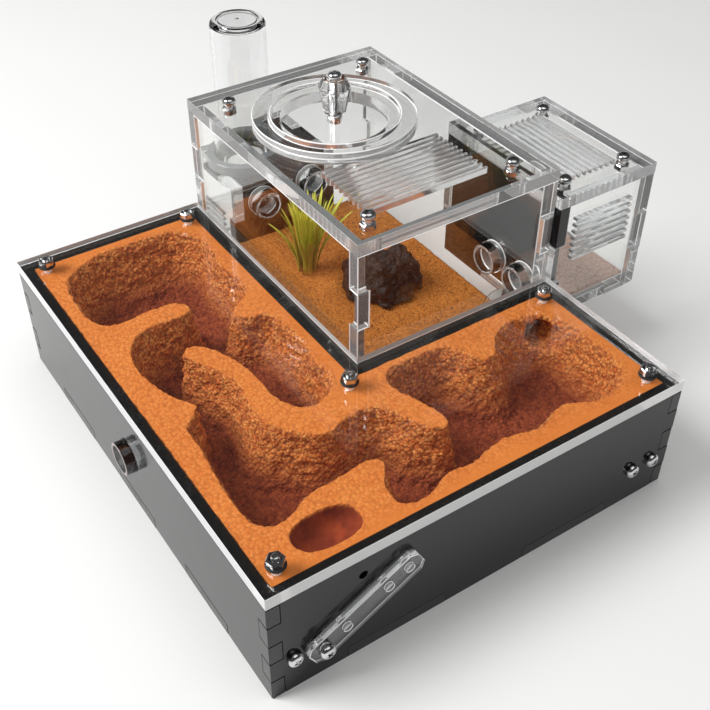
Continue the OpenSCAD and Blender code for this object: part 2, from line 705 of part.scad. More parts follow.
module forage_front_wall() color(clear)
    wall_across(forage_x, forage_y, 0, forage_w, forage_wall_h, forage_fingers, forage_tabs_w)
        translate([tunnel_x - forage_x, tunnel_z]) port_hole();

module forage_back_wall() color(clear)
    wall_across(forage_x, nest_d - sheet, 0, forage_w, forage_wall_h, forage_fingers, forage_tabs_w)
        for (side = [-1, 1]) translate([rear_port_mid + side * rear_port_pitch / 2 - forage_x,
            rear_port_z]) port_hole();

module forage_left_wall() color(clear)
    wall_along(forage_x, forage_y, 0, forage_d, forage_wall_h, forage_fingers, forage_tabs_d);

module forage_right_wall() color(clear)
    wall_along(nest_w - sheet, forage_y, 0, forage_d, forage_wall_h, forage_fingers, forage_tabs_d)
        for (side = [-1, 1]) translate([side_port_mid + side * side_port_pitch / 2 - forage_y,
            side_port_z]) port_hole();

module sand_bed() color([0.8, 0.5, 0.25]) {
    gap = sheet + fill_slack;
    translate([forage_x + gap, forage_y + gap, sheet])
        cube([forage_w - 2 * gap, forage_d - 2 * gap, sand_h]);
}

module rock() color([0.12, 0.12, 0.13]) translate([rock_x, rock_y, sand_top])
    for (peak = rock_peaks) hull() for (p = peak)
        translate([p.x * rock_w, p.y * rock_w, p.z * (rock_h - rock_corner)])
            cylinder(r = rock_corner, h = rock_corner, $fn = 4);

// A blade that rises from the origin, leans towards +X and narrows to its tip
module grass_blade(len, lean) {
    last = len(blade_steps) - 1;
    spots = [for (t = blade_steps) [lean * t * t, len * (t - blade_droop * t * t * t)]];
    polyhedron(
        points = [for (k = [0:last])
            let (w = blade_w * (1 + blade_tip - blade_steps[k]) / 2, s = spots[k])
            each [[s.x, -w, s.y], [s.x, w, s.y], [s.x + blade_t + w * blade_fold, 0, s.y]]],
        faces = concat([[2, 1, 0]],
            [for (k = [0:last - 1], i = [0:2]) let (j = (i + 1) % 3, a = 3 * k, b = a + 3)
                each [[b + j, b + i, a + i], [b + j, a + i, a + j]]],
            [[3 * last, 3 * last + 1, 3 * last + 2]]));
}

module grass_plant() color([0.62, 0.68, 0.18]) translate([plant_x, plant_y, sand_top]) {
    cylinder(r = root_r, h = root_h);
    for (i = [0:blade_count - 1]) {
        share = i / blade_count;
        rotate(i * blade_turn) translate([blade_spread * root_r * sqrt(share), 0, root_h / 2])
            grass_blade(blade_len * (1 - blade_shrink * share),
                blade_lean * (inner_lean + (1 - inner_lean) * share));
    }
}

module forage_lid() color(clear) translate([0, 0, forage_wall_h]) linear_extrude(sheet)
    difference() {
        translate([forage_x, forage_y]) square([forage_w, forage_d]);
        translate([hatch_x, hatch_y]) circle(r = hatch_hole_r);
        translate([vent_x, vent_y]) slot_row(vent_slots, vent_len, vent_pitch);
        corner_places(forage_x, forage_y, forage_w, forage_d, forage_screw_inset)
            circle(r = screw_r + hole_slack);
    }

module forage_lid_screws() color(steel)
    corner_places(forage_x, forage_y, forage_w, forage_d, forage_screw_inset)
        translate([0, 0, forage_top]) pan_screw(sheet + nut_h + thread_end);

module forage_lid_nuts() color(steel)
    corner_places(forage_x, forage_y, forage_w, forage_d, forage_screw_inset)
        translate([0, 0, forage_wall_h - nut_h]) hex_nut();

module hatch_ring() color(clear) translate([hatch_x, hatch_y, forage_top])
    linear_extrude(sheet) difference() {
        circle(r = hatch_ring_r);
        circle(r = hatch_guide_r);
    }

module hatch_cover() color(clear) translate([hatch_x, hatch_y, forage_top])
    linear_extrude(sheet) difference() {
        circle(r = hatch_guide_r - hatch_gap);
        circle(r = screw_r + hole_slack);
    }

module hatch_knob() color(clear) translate([hatch_x, hatch_y, cover_top]) difference() {
    union() {
        cylinder(d1 = knob_base, d2 = knob_top, h = knob_rise, $fn = 8);
        translate([0, 0, knob_rise])
            cylinder(d1 = knob_top, d2 = knob_base, h = knob_bevel, $fn = 8);
    }
    translate([0, 0, -over]) cylinder(r = screw_r + hole_slack, h = knob_h + 2 * over);
}

module hatch_screw() color(steel) translate([hatch_x, hatch_y, cover_top + knob_h])
    pan_screw(knob_h + sheet + nut_h + thread_end);

module hatch_nut() color(steel) translate([hatch_x, hatch_y, forage_top - nut_h]) hex_nut();

// ---- Tubes between the boxes ----

module tunnel_tube() color(clear)
    translate([tunnel_x, forage_y + sheet + tunnel_reach, tunnel_z]) rotate([90, 0, 0])
        tube(tunnel_reach + module_gap + 2 * sheet + tube_seat);

module side_port_tubes() color(clear) for (side = [-1, 1])
    translate([nest_w - sheet - tube_reach, side_port_mid + side * side_port_pitch / 2, side_port_z])
        rotate([0, 90, 0]) tube(2 * tube_reach + 2 * sheet + module_gap);

module rear_port_tubes() color(clear) for (side = [-1, 1])
    translate([rear_port_mid + side * rear_port_pitch / 2, water_y + sheet, rear_port_z])
        rotate([90, 0, 0]) tube(tube_reach + 2 * sheet + module_gap);

// ---- Side box ----

module side_vent() translate([side_w / 2, side_wall_slot_z])
    slot_row(side_wall_slots, side_wall_slot_len);

module side_port_panel() color(black)
    wall_along(side_x, side_y, side_z, side_d, side_wall_h, side_fingers, side_tabs)
        for (side = [-1, 1]) translate([side_port_mid + side * side_port_pitch / 2 - side_y,
            side_port_z - side_z]) port_hole();

module side_front_wall() color(clear)
    wall_across(side_x, side_y, side_z, side_w, side_wall_h, side_fingers, side_tabs) side_vent();

module side_back_wall() color(clear)
    wall_across(side_x, side_y + side_d - sheet, side_z, side_w, side_wall_h, side_fingers, side_tabs)
        side_vent();

module side_right_wall() color(clear)
    wall_along(side_x + side_w - sheet, side_y, side_z, side_d, side_wall_h, side_fingers, side_tabs);

module side_floor() color(clear) translate([0, 0, side_z]) linear_extrude(sheet)
    tabbed_floor(side_x, side_y, side_w, side_d, side_tabs, side_tabs);

module side_floor_mat() color([0.75, 0.6, 0.55]) {
    gap = sheet + fill_slack;
    translate([side_x + gap, side_y + gap, side_z + sheet])
        cube([side_w - 2 * gap, side_d - 2 * gap, mat_h]);
}

module side_lid() color(clear) translate([0, 0, side_top - sheet]) linear_extrude(sheet)
    difference() {
        translate([side_x, side_y]) square([side_w, side_d]);
        translate([side_x + side_w / 2, side_y + side_d / 2]) rotate(90)
            slot_row(side_lid_slots, side_lid_slot_len);
        corner_places(side_x, side_y, side_w, side_d, side_screw_inset)
            circle(r = screw_r + hole_slack);
    }

module side_lid_screws() color(steel)
    corner_places(side_x, side_y, side_w, side_d, side_screw_inset)
        translate([0, 0, side_top]) pan_screw(sheet + nut_h + thread_end);

module side_lid_nuts() color(steel)
    corner_places(side_x, side_y, side_w, side_d, side_screw_inset)
        translate([0, 0, side_top - sheet - nut_h]) hex_nut();

// ---- Water box and bottle ----

// Cuts of a water box wall that runs along Y: notch for the top plate and vent slots
module water_side_cuts() {
    for (s = tab_starts(water_d, water_tabs)) translate([s - kerf, water_h - water_top_t])
        square([water_tab_w + 2 * kerf, water_top_t + over]);
    translate([water_d / 2, (sheet + water_h) / 2 - slot_pitch])
        slot_row(water_slots, water_slot_len);
}

module water_port_panel() color(black)
    wall_across(water_x, water_y, 0, water_w, water_h, water_fingers, water_tabs)
        for (side = [-1, 1]) translate([rear_port_mid + side * rear_port_pitch / 2 - water_x,
            rear_port_z]) port_hole();

module water_back_wall() color(clear)
    wall_across(water_x, water_y + water_d - sheet, 0, water_w, water_h, water_fingers, water_tabs);

module water_left_wall() color(clear)
    wall_along(water_x, water_y, 0, water_d, water_h, water_fingers, water_tabs) water_side_cuts();

module water_right_wall() color(clear)
    wall_along(water_x + water_w - sheet, water_y, 0, water_d, water_h, water_fingers, water_tabs)
        water_side_cuts();

module water_floor() color(clear) linear_extrude(sheet)
    tabbed_floor(water_x, water_y, water_w, water_d, water_tabs, water_tabs);

module water_top() color(black) translate([0, 0, water_h - water_top_t])
    linear_extrude(water_top_t) difference() {
        union() {
            translate([water_x + sheet, water_y + sheet])
                square([water_w - 2 * sheet, water_d - 2 * sheet]);
            for (s = tab_starts(water_d, water_tabs))
                translate([water_x, water_y + s]) square([water_w, water_tab_w]);
        }
        translate([bottle_x, bottle_y]) circle(r = neck_r + bottle_gap);
    }

module tower_collar() color([0.5, 0.52, 0.54, 0.8]) translate([bottle_x, bottle_y, water_h])
    linear_extrude(collar_h) difference() {
        circle(r = collar_r);
        circle(r = bottle_r + bottle_gap);
    }

// The bottle stands on its shoulder with its neck down. Its base, on top, has a ring and a spot.
module tower_bottle() color(clear) translate([bottle_x, bottle_y, water_h]) rotate_extrude() {
    in_r = bottle_r - bottle_wall;
    in_neck = neck_r - bottle_wall;
    difference() {
        union() {
            square([bottle_r, bottle_h - bottle_round]);
            square([bottle_r - bottle_round, bottle_h]);
            translate([bottle_r - bottle_round, bottle_h - bottle_round]) circle(r = bottle_round);
            translate([0, -neck_len]) square([neck_r, neck_len + over]);
        }
        translate([-bottle_r, -neck_len - over]) square([bottle_r, bottle_h + neck_len + 2 * over]);
        translate([0, bottle_wall]) square([in_r, bottle_h - bottle_round - bottle_wall]);
        translate([0, bottle_wall]) square([in_r - bottle_round, bottle_h - 3 * bottle_wall]);
        translate([0, -neck_len - over]) square([in_neck, neck_len + bottle_wall + 2 * over]);
        translate([bottle_r * 0.72, bottle_h]) circle(r = bottle_wall / 2);
        translate([0, bottle_h]) circle(r = bottle_wall);
    }
}

module tower_plug() color([0.9, 0.9, 0.88]) translate([bottle_x, bottle_y, water_h - neck_len])
    cylinder(r = neck_r - bottle_wall - hole_slack, h = neck_len);

placed() nest_floor();
placed() nest_front_panel();
placed() nest_left_panel();
placed() nest_back_panel();
placed() nest_right_panel();
placed() nest_inner_side_panel();
placed() nest_inner_front_panel();
placed() nest_plaster();
placed() nest_lid();
placed() lid_studs();
placed() lid_washers();
placed() lid_nuts();
placed() nest_port_tube();
placed() front_screws();
placed() pivot_screw();
placed() swing_bar();
placed() forage_floor();
placed() forage_front_wall();
placed() forage_back_wall();
placed() forage_left_wall();
placed() forage_right_wall();
placed() forage_lid();
placed() forage_lid_screws();
placed() forage_lid_nuts();
placed() hatch_ring();
placed() hatch_cover();
placed() hatch_knob();
placed() hatch_screw();
placed() hatch_nut();
placed() sand_bed();
placed() rock();
placed() grass_plant();
placed() tunnel_tube();
placed() side_port_tubes();
placed() rear_port_tubes();
placed() side_port_panel();
placed() side_front_wall();
placed() side_back_wall();
placed() side_right_wall();
placed() side_floor();
placed() side_floor_mat();
placed() side_lid();
placed() side_lid_screws();
placed() side_lid_nuts();
placed() water_port_panel();
placed() water_left_wall();
placed() water_right_wall();
placed() water_back_wall();
placed() water_floor();
placed() water_top();
placed() tower_collar();
placed() tower_bottle();
placed() tower_plug();
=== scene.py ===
import json
import math
import random

import bmesh
import bpy
from mathutils import Matrix, Vector, noise
from mathutils.bvhtree import BVHTree

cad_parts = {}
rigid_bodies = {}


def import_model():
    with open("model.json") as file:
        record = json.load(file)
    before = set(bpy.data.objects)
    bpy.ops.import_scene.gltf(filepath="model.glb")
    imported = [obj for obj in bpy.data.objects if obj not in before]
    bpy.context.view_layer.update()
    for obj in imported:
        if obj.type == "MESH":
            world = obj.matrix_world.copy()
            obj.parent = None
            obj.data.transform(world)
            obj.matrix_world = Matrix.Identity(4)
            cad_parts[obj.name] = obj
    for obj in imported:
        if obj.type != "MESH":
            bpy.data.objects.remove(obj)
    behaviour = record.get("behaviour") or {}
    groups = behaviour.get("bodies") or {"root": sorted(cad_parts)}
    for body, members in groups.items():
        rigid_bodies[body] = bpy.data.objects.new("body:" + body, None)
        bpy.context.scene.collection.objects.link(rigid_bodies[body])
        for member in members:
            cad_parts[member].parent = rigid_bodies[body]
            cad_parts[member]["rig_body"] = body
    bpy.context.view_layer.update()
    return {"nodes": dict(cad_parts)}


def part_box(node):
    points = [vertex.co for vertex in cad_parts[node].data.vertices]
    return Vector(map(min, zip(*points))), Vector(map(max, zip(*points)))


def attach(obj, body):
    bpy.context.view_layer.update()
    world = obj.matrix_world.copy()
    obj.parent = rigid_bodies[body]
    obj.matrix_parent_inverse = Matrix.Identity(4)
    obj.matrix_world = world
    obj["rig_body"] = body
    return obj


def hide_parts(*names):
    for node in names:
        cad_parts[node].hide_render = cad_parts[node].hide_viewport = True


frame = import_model()
cadNodes = frame["nodes"]
print("frame loaded:", len(cadNodes), "nodes")

scene = bpy.context.scene
scene.view_settings.view_transform = "Standard"


def bodyOf(nodeName):
    return cadNodes[nodeName]["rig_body"]


def cadCopy(nodeName):
    # a merged copy of a CAD node's mesh
    bm = bmesh.new()
    bm.from_mesh(cadNodes[nodeName].data)
    bmesh.ops.remove_doubles(bm, verts=bm.verts, dist=1e-6)
    return bm


def looseParts(nodeName):
    # lowest and highest corner of each separate solid of a node
    bm = cadCopy(nodeName)
    bm.verts.ensure_lookup_table()
    seen, parts = set(), []
    for v in bm.verts:
        if v.index in seen:
            continue
        stack, group = [v], []
        seen.add(v.index)
        while stack:
            w = stack.pop()
            group.append(w.co.copy())
            for e in w.link_edges:
                o = e.other_vert(w)
                if o.index not in seen:
                    seen.add(o.index)
                    stack.append(o)
        lo = Vector([min(c[i] for c in group) for i in range(3)])
        hi = Vector([max(c[i] for c in group) for i in range(3)])
        parts.append((lo, hi))
    bm.free()
    return sorted(parts, key=lambda p: (round(p[0].x, 4), round(p[0].y, 4)))


def finishPiece(name, bm, materials, body, replaced=(), smooth=True):
    bmesh.ops.recalc_face_normals(bm, faces=bm.faces)
    return keepPiece(name, bm, materials, body, replaced, smooth)


def keepPiece(name, bm, materials, body, replaced=(), smooth=True):
    # smooth None leaves the shading of each face as it was set
    mesh = bpy.data.meshes.new(name)
    if smooth is not None:
        for f in bm.faces:
            f.smooth = smooth
    bm.to_mesh(mesh)
    bm.free()
    piece = bpy.data.objects.new(name, mesh)
    scene.collection.objects.link(piece)
    for mat in materials if isinstance(materials, (list, tuple)) else [materials]:
        mesh.materials.append(mat)
    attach(piece, body)
    if replaced:
        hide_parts(*replaced)
    return piece


def meshObject(name, bm):
    mesh = bpy.data.meshes.new(name)
    bm.to_mesh(mesh)
    bm.free()
    made = bpy.data.objects.new(name, mesh)
    scene.collection.objects.link(made)
    return made


def sharpEdges(bm, degrees):
    # edges steeper than this stay crisp on a smooth piece
    limit = math.radians(degrees)
    for e in bm.edges:
        e.smooth = not (len(e.link_faces) == 2 and e.calc_face_angle(0) > limit)


def addMesh(bm, other, matrix=None):
    # puts a finished bmesh into another one, moved by matrix
    mesh = bpy.data.meshes.new("passing")
    other.to_mesh(mesh)
    if matrix is not None:
        mesh.transform(matrix)
    bm.from_mesh(mesh)
    bpy.data.meshes.remove(mesh)


def dress(nodeName, mat):
    # a CAD node that stays gets its real material
    data = cadNodes[nodeName].data
    data.materials.clear()
    data.materials.append(mat)


def spun(profile, steps=32, center=(0, 0, 0)):
    # turns a profile of (radius, height) points round the Z axis
    bm = bmesh.new()
    verts = [bm.verts.new((r, 0, z)) for r, z in profile]
    edges = [bm.edges.new((verts[i], verts[i + 1])) for i in range(len(verts) - 1)]
    bmesh.ops.spin(bm, geom=verts + edges, axis=(0, 0, 1), cent=(0, 0, 0), steps=steps,
                   angle=math.tau, use_merge=True)
    bmesh.ops.remove_doubles(bm, verts=bm.verts, dist=1e-7)
    bmesh.ops.recalc_face_normals(bm, faces=bm.faces)
    bmesh.ops.translate(bm, verts=bm.verts, vec=center)
    return bm


def newGroup(name, inputs, outputs):
    group = bpy.data.node_groups.new(name, "ShaderNodeTree")
    for label, value in inputs:
        socket = group.interface.new_socket(name=label, in_out="INPUT", socket_type="NodeSocketFloat")
        socket.default_value = value
    for label in outputs:
        group.interface.new_socket(name=label, in_out="OUTPUT", socket_type="NodeSocketFloat")
    return group, group.nodes.new("NodeGroupInput"), group.nodes.new("NodeGroupOutput")


def mathNode(tree, operation, a, b=None, clamp=False):
    node = tree.nodes.new("ShaderNodeMath")
    node.operation = operation
    node.use_clamp = clamp
    for socket, value in zip(node.inputs, (a, b)):
        if value is None:
            continue
        if isinstance(value, (int, float)):
            socket.default_value = value
        else:
            tree.links.new(value, socket)
    return node.outputs[0]


def rangeNode(tree, value, low, high, toLow=0.0, toHigh=1.0):
    node = tree.nodes.new("ShaderNodeMapRange")
    node.inputs["To Min"].default_value = toLow
    node.inputs["To Max"].default_value = toHigh
    tree.links.new(value, node.inputs["Value"])
    for socket, v in ((node.inputs["From Min"], low), (node.inputs["From Max"], high)):
        if isinstance(v, (int, float)):
            socket.default_value = v
        else:
            tree.links.new(v, socket)
    return node.outputs["Result"]


def noiseNode(tree, coord, scale, detail=2.0, rough=0.5):
    node = tree.nodes.new("ShaderNodeTexNoise")
    node.inputs["Detail"].default_value = detail
    node.inputs["Roughness"].default_value = rough
    tree.links.new(coord, node.inputs["Vector"])
    if isinstance(scale, (int, float)):
        node.inputs["Scale"].default_value = scale
    else:
        tree.links.new(scale, node.inputs["Scale"])
    return node.outputs["Fac"]


def objectCoord(tree):
    return tree.nodes.new("ShaderNodeTexCoord").outputs["Object"]


def makeSpeckleGroup():
    # patches of a given size: mask rises from 0 to 1 between low and high
    group, gin, gout = newGroup("speckle", [("Scale", 400.0), ("Low", 0.4), ("High", 0.6)], ["Mask"])
    value = noiseNode(group, objectCoord(group), gin.outputs["Scale"], 3.0, 0.6)
    mask = rangeNode(group, value, gin.outputs["Low"], gin.outputs["High"])
    group.links.new(mask, gout.inputs["Mask"])
    return group


def makeCrumbGroup():
    # rounded crumbs, and a mask of painted shade for the gaps between them
    group, gin, gout = newGroup("crumbs", [("Scale", 900.0), ("Gap", 0.35)], ["Height", "Gaps", "Tone"])
    coord = objectCoord(group)
    cell = group.nodes.new("ShaderNodeTexVoronoi")
    cell.feature = "F1"
    group.links.new(coord, cell.inputs["Vector"])
    group.links.new(gin.outputs["Scale"], cell.inputs["Scale"])
    far = mathNode(group, "SUBTRACT", 1.0, cell.outputs["Distance"], clamp=True)
    rough = noiseNode(group, coord, mathNode(group, "MULTIPLY", gin.outputs["Scale"], 1.7), 3.0, 0.65)
    height = mathNode(group, "ADD", far, mathNode(group, "MULTIPLY", rough, 0.7))
    group.links.new(height, gout.inputs["Height"])
    gapShadeMask = rangeNode(group, height, gin.outputs["Gap"],
                     mathNode(group, "ADD", gin.outputs["Gap"], 0.45), 1.0, 0.0)
    group.links.new(gapShadeMask, gout.inputs["Gaps"])
    tone = group.nodes.new("ShaderNodeSeparateColor")
    group.links.new(cell.outputs["Color"], tone.inputs["Color"])
    group.links.new(tone.outputs["Red"], gout.inputs["Tone"])
    return group


def makeSmudgeGroup():
    # handling marks and fine dust: a roughness between Clean and Marked
    group, gin, gout = newGroup("smudges", [("Scale", 30.0), ("Clean", 0.02), ("Marked", 0.1)],
                                ["Roughness", "Mask"])
    coord = objectCoord(group)
    broad = noiseNode(group, coord, gin.outputs["Scale"], 4.0, 0.6)
    fine = noiseNode(group, coord, mathNode(group, "MULTIPLY", gin.outputs["Scale"], 14.0), 2.0, 0.6)
    both = mathNode(group, "MULTIPLY", broad, mathNode(group, "ADD", fine, 0.5))
    mask = rangeNode(group, both, 0.45, 0.75)
    group.links.new(mask, gout.inputs["Mask"])
    span = mathNode(group, "SUBTRACT", gin.outputs["Marked"], gin.outputs["Clean"])
    value = mathNode(group, "ADD", gin.outputs["Clean"], mathNode(group, "MULTIPLY", mask, span))
    group.links.new(value, gout.inputs["Roughness"])
    return group


speckleGroup, crumbGroup, smudgeGroup = makeSpeckleGroup(), makeCrumbGroup(), makeSmudgeGroup()


def startMaterial(name):
    mat = bpy.data.materials.new(name)
    mat.use_nodes = True
    return mat, mat.node_tree, mat.node_tree.nodes["Principled BSDF"]


def placeGroup(tree, group, **values):
    node = tree.nodes.new("ShaderNodeGroup")
    node.node_tree = group
    for label, value in values.items():
        node.inputs[label].default_value = value
    return node


def mixColour(tree, mask, a, b):
    node = tree.nodes.new("ShaderNodeMix")
    node.data_type = "RGBA"
    tree.links.new(mask, node.inputs[0])
    for socket, value in ((node.inputs[6], a), (node.inputs[7], b)):
        if isinstance(value, (tuple, list)):
            socket.default_value = (*value, 1)
        else:
            tree.links.new(value, socket)
    return node.outputs[2]


def addBump(tree, shader, height, distance, strength=1.0):
    bump = tree.nodes.new("ShaderNodeBump")
    bump.inputs["Distance"].default_value = distance
    bump.inputs["Strength"].default_value = strength
    tree.links.new(height, bump.inputs["Height"])
    tree.links.new(bump.outputs["Normal"], shader.inputs["Normal"])
    return bump


def clearMaterial(name, tint, clean, marked, scale=22.0, clarity=1.0):
    # clear acrylic that lets the lamps through to what it covers
    mat, tree, shader = startMaterial(name)
    shader.inputs["Base Color"].default_value = (*tint, 1)
    shader.inputs["IOR"].default_value = 1.49
    shader.inputs["Transmission Weight"].default_value = clarity
    marks = placeGroup(tree, smudgeGroup, Scale=scale, Clean=clean, Marked=marked)
    tree.links.new(marks.outputs["Roughness"], shader.inputs["Roughness"])
    through = tree.nodes.new("ShaderNodeBsdfTransparent")
    through.inputs["Color"].default_value = (*[0.5 + 0.5 * t for t in tint], 1)
    path = tree.nodes.new("ShaderNodeLightPath")
    lit = mathNode(tree, "MAXIMUM", path.outputs["Is Shadow Ray"], path.outputs["Is Diffuse Ray"])
    mix = tree.nodes.new("ShaderNodeMixShader")
    tree.links.new(lit, mix.inputs[0])
    tree.links.new(shader.outputs[0], mix.inputs[1])
    tree.links.new(through.outputs[0], mix.inputs[2])
    tree.links.new(mix.outputs[0], tree.nodes["Material Output"].inputs["Surface"])
    return mat


def glossMaterial(name, colour, dusty, clean, marked, scale=40.0, ior=1.49):
    # dense glossy plastic with faint dust and handling marks
    mat, tree, shader = startMaterial(name)
    marks = placeGroup(tree, smudgeGroup, Scale=scale, Clean=clean, Marked=marked)
    dust = placeGroup(tree, speckleGroup, Scale=1400.0, Low=0.66, High=0.78)
    tree.links.new(mixColour(tree, dust.outputs["Mask"], colour, dusty), shader.inputs["Base Color"])
    tree.links.new(marks.outputs["Roughness"], shader.inputs["Roughness"])
    shader.inputs["IOR"].default_value = ior
    return mat


def metalMaterial(name, colour, worn, clean, marked):
    mat, tree, shader = startMaterial(name)
    marks = placeGroup(tree, smudgeGroup, Scale=260.0, Clean=clean, Marked=marked)
    tree.links.new(mixColour(tree, marks.outputs["Mask"], colour, worn), shader.inputs["Base Color"])
    tree.links.new(marks.outputs["Roughness"], shader.inputs["Roughness"])
    shader.inputs["Metallic"].default_value = 1.0
    return mat


clearAcrylic = clearMaterial("clearAcrylic", (0.985, 0.99, 0.985), 0.0, 0.03)
clearTube = clearMaterial("clearTube", (0.97, 0.98, 0.98), 0.02, 0.12, 80.0)
clearBottle = clearMaterial("clearBottle", (0.97, 0.975, 0.975), 0.02, 0.08, 60.0)
knobCrystal = clearMaterial("knobCrystal", (0.98, 0.98, 0.98), 0.0, 0.03, 90.0)
# the white share of the cut-edge, chamfer and lid-edge materials is painted light: it stands in for light
# that the clear sheets carry to their cut faces, and the chamfers show as painted highlight lines
cutEdgePaintedLight = clearMaterial("cutEdgePaintedLight", (0.96, 0.97, 0.97), 0.03, 0.09, 30.0, 0.78)
chamferPaintedHighlight = clearMaterial("chamferPaintedHighlight", (1.0, 1.0, 1.0), 0.25, 0.3, 30.0, 0.1)
lidEdge = clearMaterial("lidEdge", (1.0, 1.0, 1.0), 0.08, 0.16, 30.0, 0.3)
blackAcrylic = glossMaterial("blackAcrylic", (0.005, 0.005, 0.006), (0.022, 0.022, 0.022), 0.08, 0.18,
                             ior=1.42)
blackEdge = glossMaterial("blackEdge", (0.004, 0.004, 0.004), (0.03, 0.03, 0.03), 0.18, 0.35)
greyAcrylic = glossMaterial("greyAcrylic", (0.16, 0.17, 0.18), (0.3, 0.3, 0.3), 0.12, 0.3)
chromeSteel = metalMaterial("chromeSteel", (0.72, 0.72, 0.73), (0.5, 0.49, 0.48), 0.1, 0.25)
washerRubber = glossMaterial("washerRubber", (0.02, 0.02, 0.021), (0.07, 0.065, 0.06), 0.45, 0.7, 300.0, 1.45)
print("plain materials ready")


camera = {
    "place": (-0.19274, -0.28830, 0.30551),
    "heading": 33.92,
    "down": 40.57,
    "roll": 0.27,
    "lens": 54.57,
}


def addCamera():
    data = bpy.data.cameras.new("camera")
    data.lens = camera["lens"]
    data.sensor_width = 36
    data.clip_start, data.clip_end = 0.01, 20
    cam = bpy.data.objects.new("camera", data)
    scene.collection.objects.link(cam)
    turn = (Matrix.Rotation(math.radians(-camera["heading"]), 4, "Z")
            @ Matrix.Rotation(math.radians(90 - camera["down"]), 4, "X")
            @ Matrix.Rotation(math.radians(camera["roll"]), 4, "Z"))
    cam.matrix_world = Matrix.Translation(camera["place"]) @ turn
    scene.camera = cam


addCamera()


studio = {
    "floorColour": (0.86, 0.86, 0.85),
    "farFloor": 0.5,
    "ambient": 0.34,
    "mirrored": 0.07,
    "worldSeen": 0.9,
    "keyPower": 14.0,
    "keySize": 0.6,
    "keyPlace": (-0.8, 0.32, 0.95),
    "topPower": 9.5,
    "topSize": 1.6,
    "topPlace": (0.1, -0.4, 1.9),
}


def addFloor():
    mat, tree, shader = startMaterial("studioFloor")
    mottle = placeGroup(tree, speckleGroup, Scale=6.0, Low=0.3, High=0.7)
    base = studio["floorColour"]
    tree.links.new(mixColour(tree, mottle.outputs["Mask"], base, [c * 0.985 for c in base]),
                   shader.inputs["Base Color"])
    shader.inputs["Roughness"].default_value = 0.7
    shader.inputs["Specular IOR Level"].default_value = 0.2
    away = tree.nodes.new("ShaderNodeVectorMath")  # far from the part the floor is seen plain white
    away.operation = "LENGTH"
    tree.links.new(objectCoord(tree), away.inputs[0])
    path = tree.nodes.new("ShaderNodeLightPath")
    far = rangeNode(tree, away.outputs["Value"], 0.9, 2.6, 0.0, studio["farFloor"])
    glow = mathNode(tree, "MULTIPLY", far, path.outputs["Is Camera Ray"])
    tree.links.new(glow, shader.inputs["Emission Strength"])
    shader.inputs["Emission Color"].default_value = (1, 1, 1, 1)
    bm = bmesh.new()
    bmesh.ops.create_grid(bm, x_segments=2, y_segments=2, size=4.0)
    backEdges = [e for e in bm.edges if all(v.co.y > 3.9 for v in e.verts)]
    raised = bmesh.ops.extrude_edge_only(bm, edges=backEdges)["geom"]
    bmesh.ops.translate(bm, vec=(0, 0.6, 2.5), verts=[g for g in raised if isinstance(g, bmesh.types.BMVert)])
    mesh = bpy.data.meshes.new("studioFloor")
    bm.to_mesh(mesh)
    bm.free()
    floor = bpy.data.objects.new("studioFloor", mesh)
    scene.collection.objects.link(floor)
    mesh.materials.append(mat)


def addLamp(name, place, size, power):
    data = bpy.data.lights.new(name, "AREA")
    data.shape = "SQUARE"
    data.size = size
    data.energy = power
    lamp = bpy.data.objects.new(name, data)
    scene.collection.objects.link(lamp)
    lamp.location = place
    lamp.rotation_euler = (Vector((0, 0, 0.03)) - Vector(place)).to_track_quat("-Z", "Y").to_euler()


def addWorld():
    world = bpy.data.worlds.new("studioWorld")
    scene.world = world
    world.use_nodes = True
    tree = world.node_tree
    back = tree.nodes["Background"]
    back.inputs["Color"].default_value = (1, 1, 1, 1)
    path = tree.nodes.new("ShaderNodeLightPath")
    soft = rangeNode(tree, path.outputs["Is Diffuse Ray"], 0.0, 1.0, studio["mirrored"], studio["ambient"])
    seen = mathNode(tree, "MULTIPLY", path.outputs["Is Camera Ray"], studio["worldSeen"])
    tree.links.new(mathNode(tree, "MAXIMUM", soft, seen), back.inputs["Strength"])


addFloor()
addLamp("keyLamp", studio["keyPlace"], studio["keySize"], studio["keyPower"])
addLamp("topLamp", studio["topPlace"], studio["topSize"], studio["topPower"])
addWorld()
print("camera, floor and lamps ready")


sheets = {
    "chamfer": 0.00034,
    "sharpAngle": 0.9,
    "airGap": 0.00002,
    "black": ("nest_floor", "nest_front_panel", "nest_left_panel", "nest_back_panel", "nest_right_panel",
              "nest_inner_side_panel", "nest_inner_front_panel", "side_port_panel", "water_port_panel",
              "water_top"),
    "clear": ("nest_lid", "swing_bar", "forage_floor", "forage_front_wall", "forage_back_wall",
              "forage_left_wall", "forage_right_wall", "forage_lid", "hatch_ring", "hatch_cover",
              "side_front_wall", "side_back_wall", "side_right_wall", "side_floor", "side_lid",
              "water_left_wall", "water_right_wall", "water_back_wall", "water_floor"),
    "tubes": ("nest_port_tube", "tunnel_tube", "side_port_tubes", "rear_port_tubes"),
}


def camelName(nodeName):
    words = nodeName.split("_")
    return words[0] + "".join(w.capitalize() for w in words[1:])


def joinedCopy(nodeName):
    # a merged copy whose flat faces are whole again
    bm = cadCopy(nodeName)
    bmesh.ops.dissolve_limit(bm, angle_limit=0.01, use_dissolve_boundaries=False, verts=bm.verts,
                             edges=bm.edges, delimit=set())
    return bm


def chamferEdges(bm, segments):
    sharp = [e for e in bm.edges if len(e.link_faces) == 2 and e.calc_face_angle(0) > sheets["sharpAngle"]]
    bmesh.ops.bevel(bm, geom=sharp, offset=sheets["chamfer"], segments=segments, profile=0.5, affect="EDGES",
                    material=-1, clamp_overlap=True)


def keepCut(nodeName, bm, slots, materials):
    # slots gives the material number of each face
    for f in bm.faces:
        f.material_index = slots(f)
        f.smooth = True
    sharpEdges(bm, 30)
    bmesh.ops.triangulate(bm, faces=[f for f in bm.faces if len(f.verts) > 4])
    keepPiece(camelName(nodeName), bm, materials, bodyOf(nodeName), [nodeName], smooth=None)


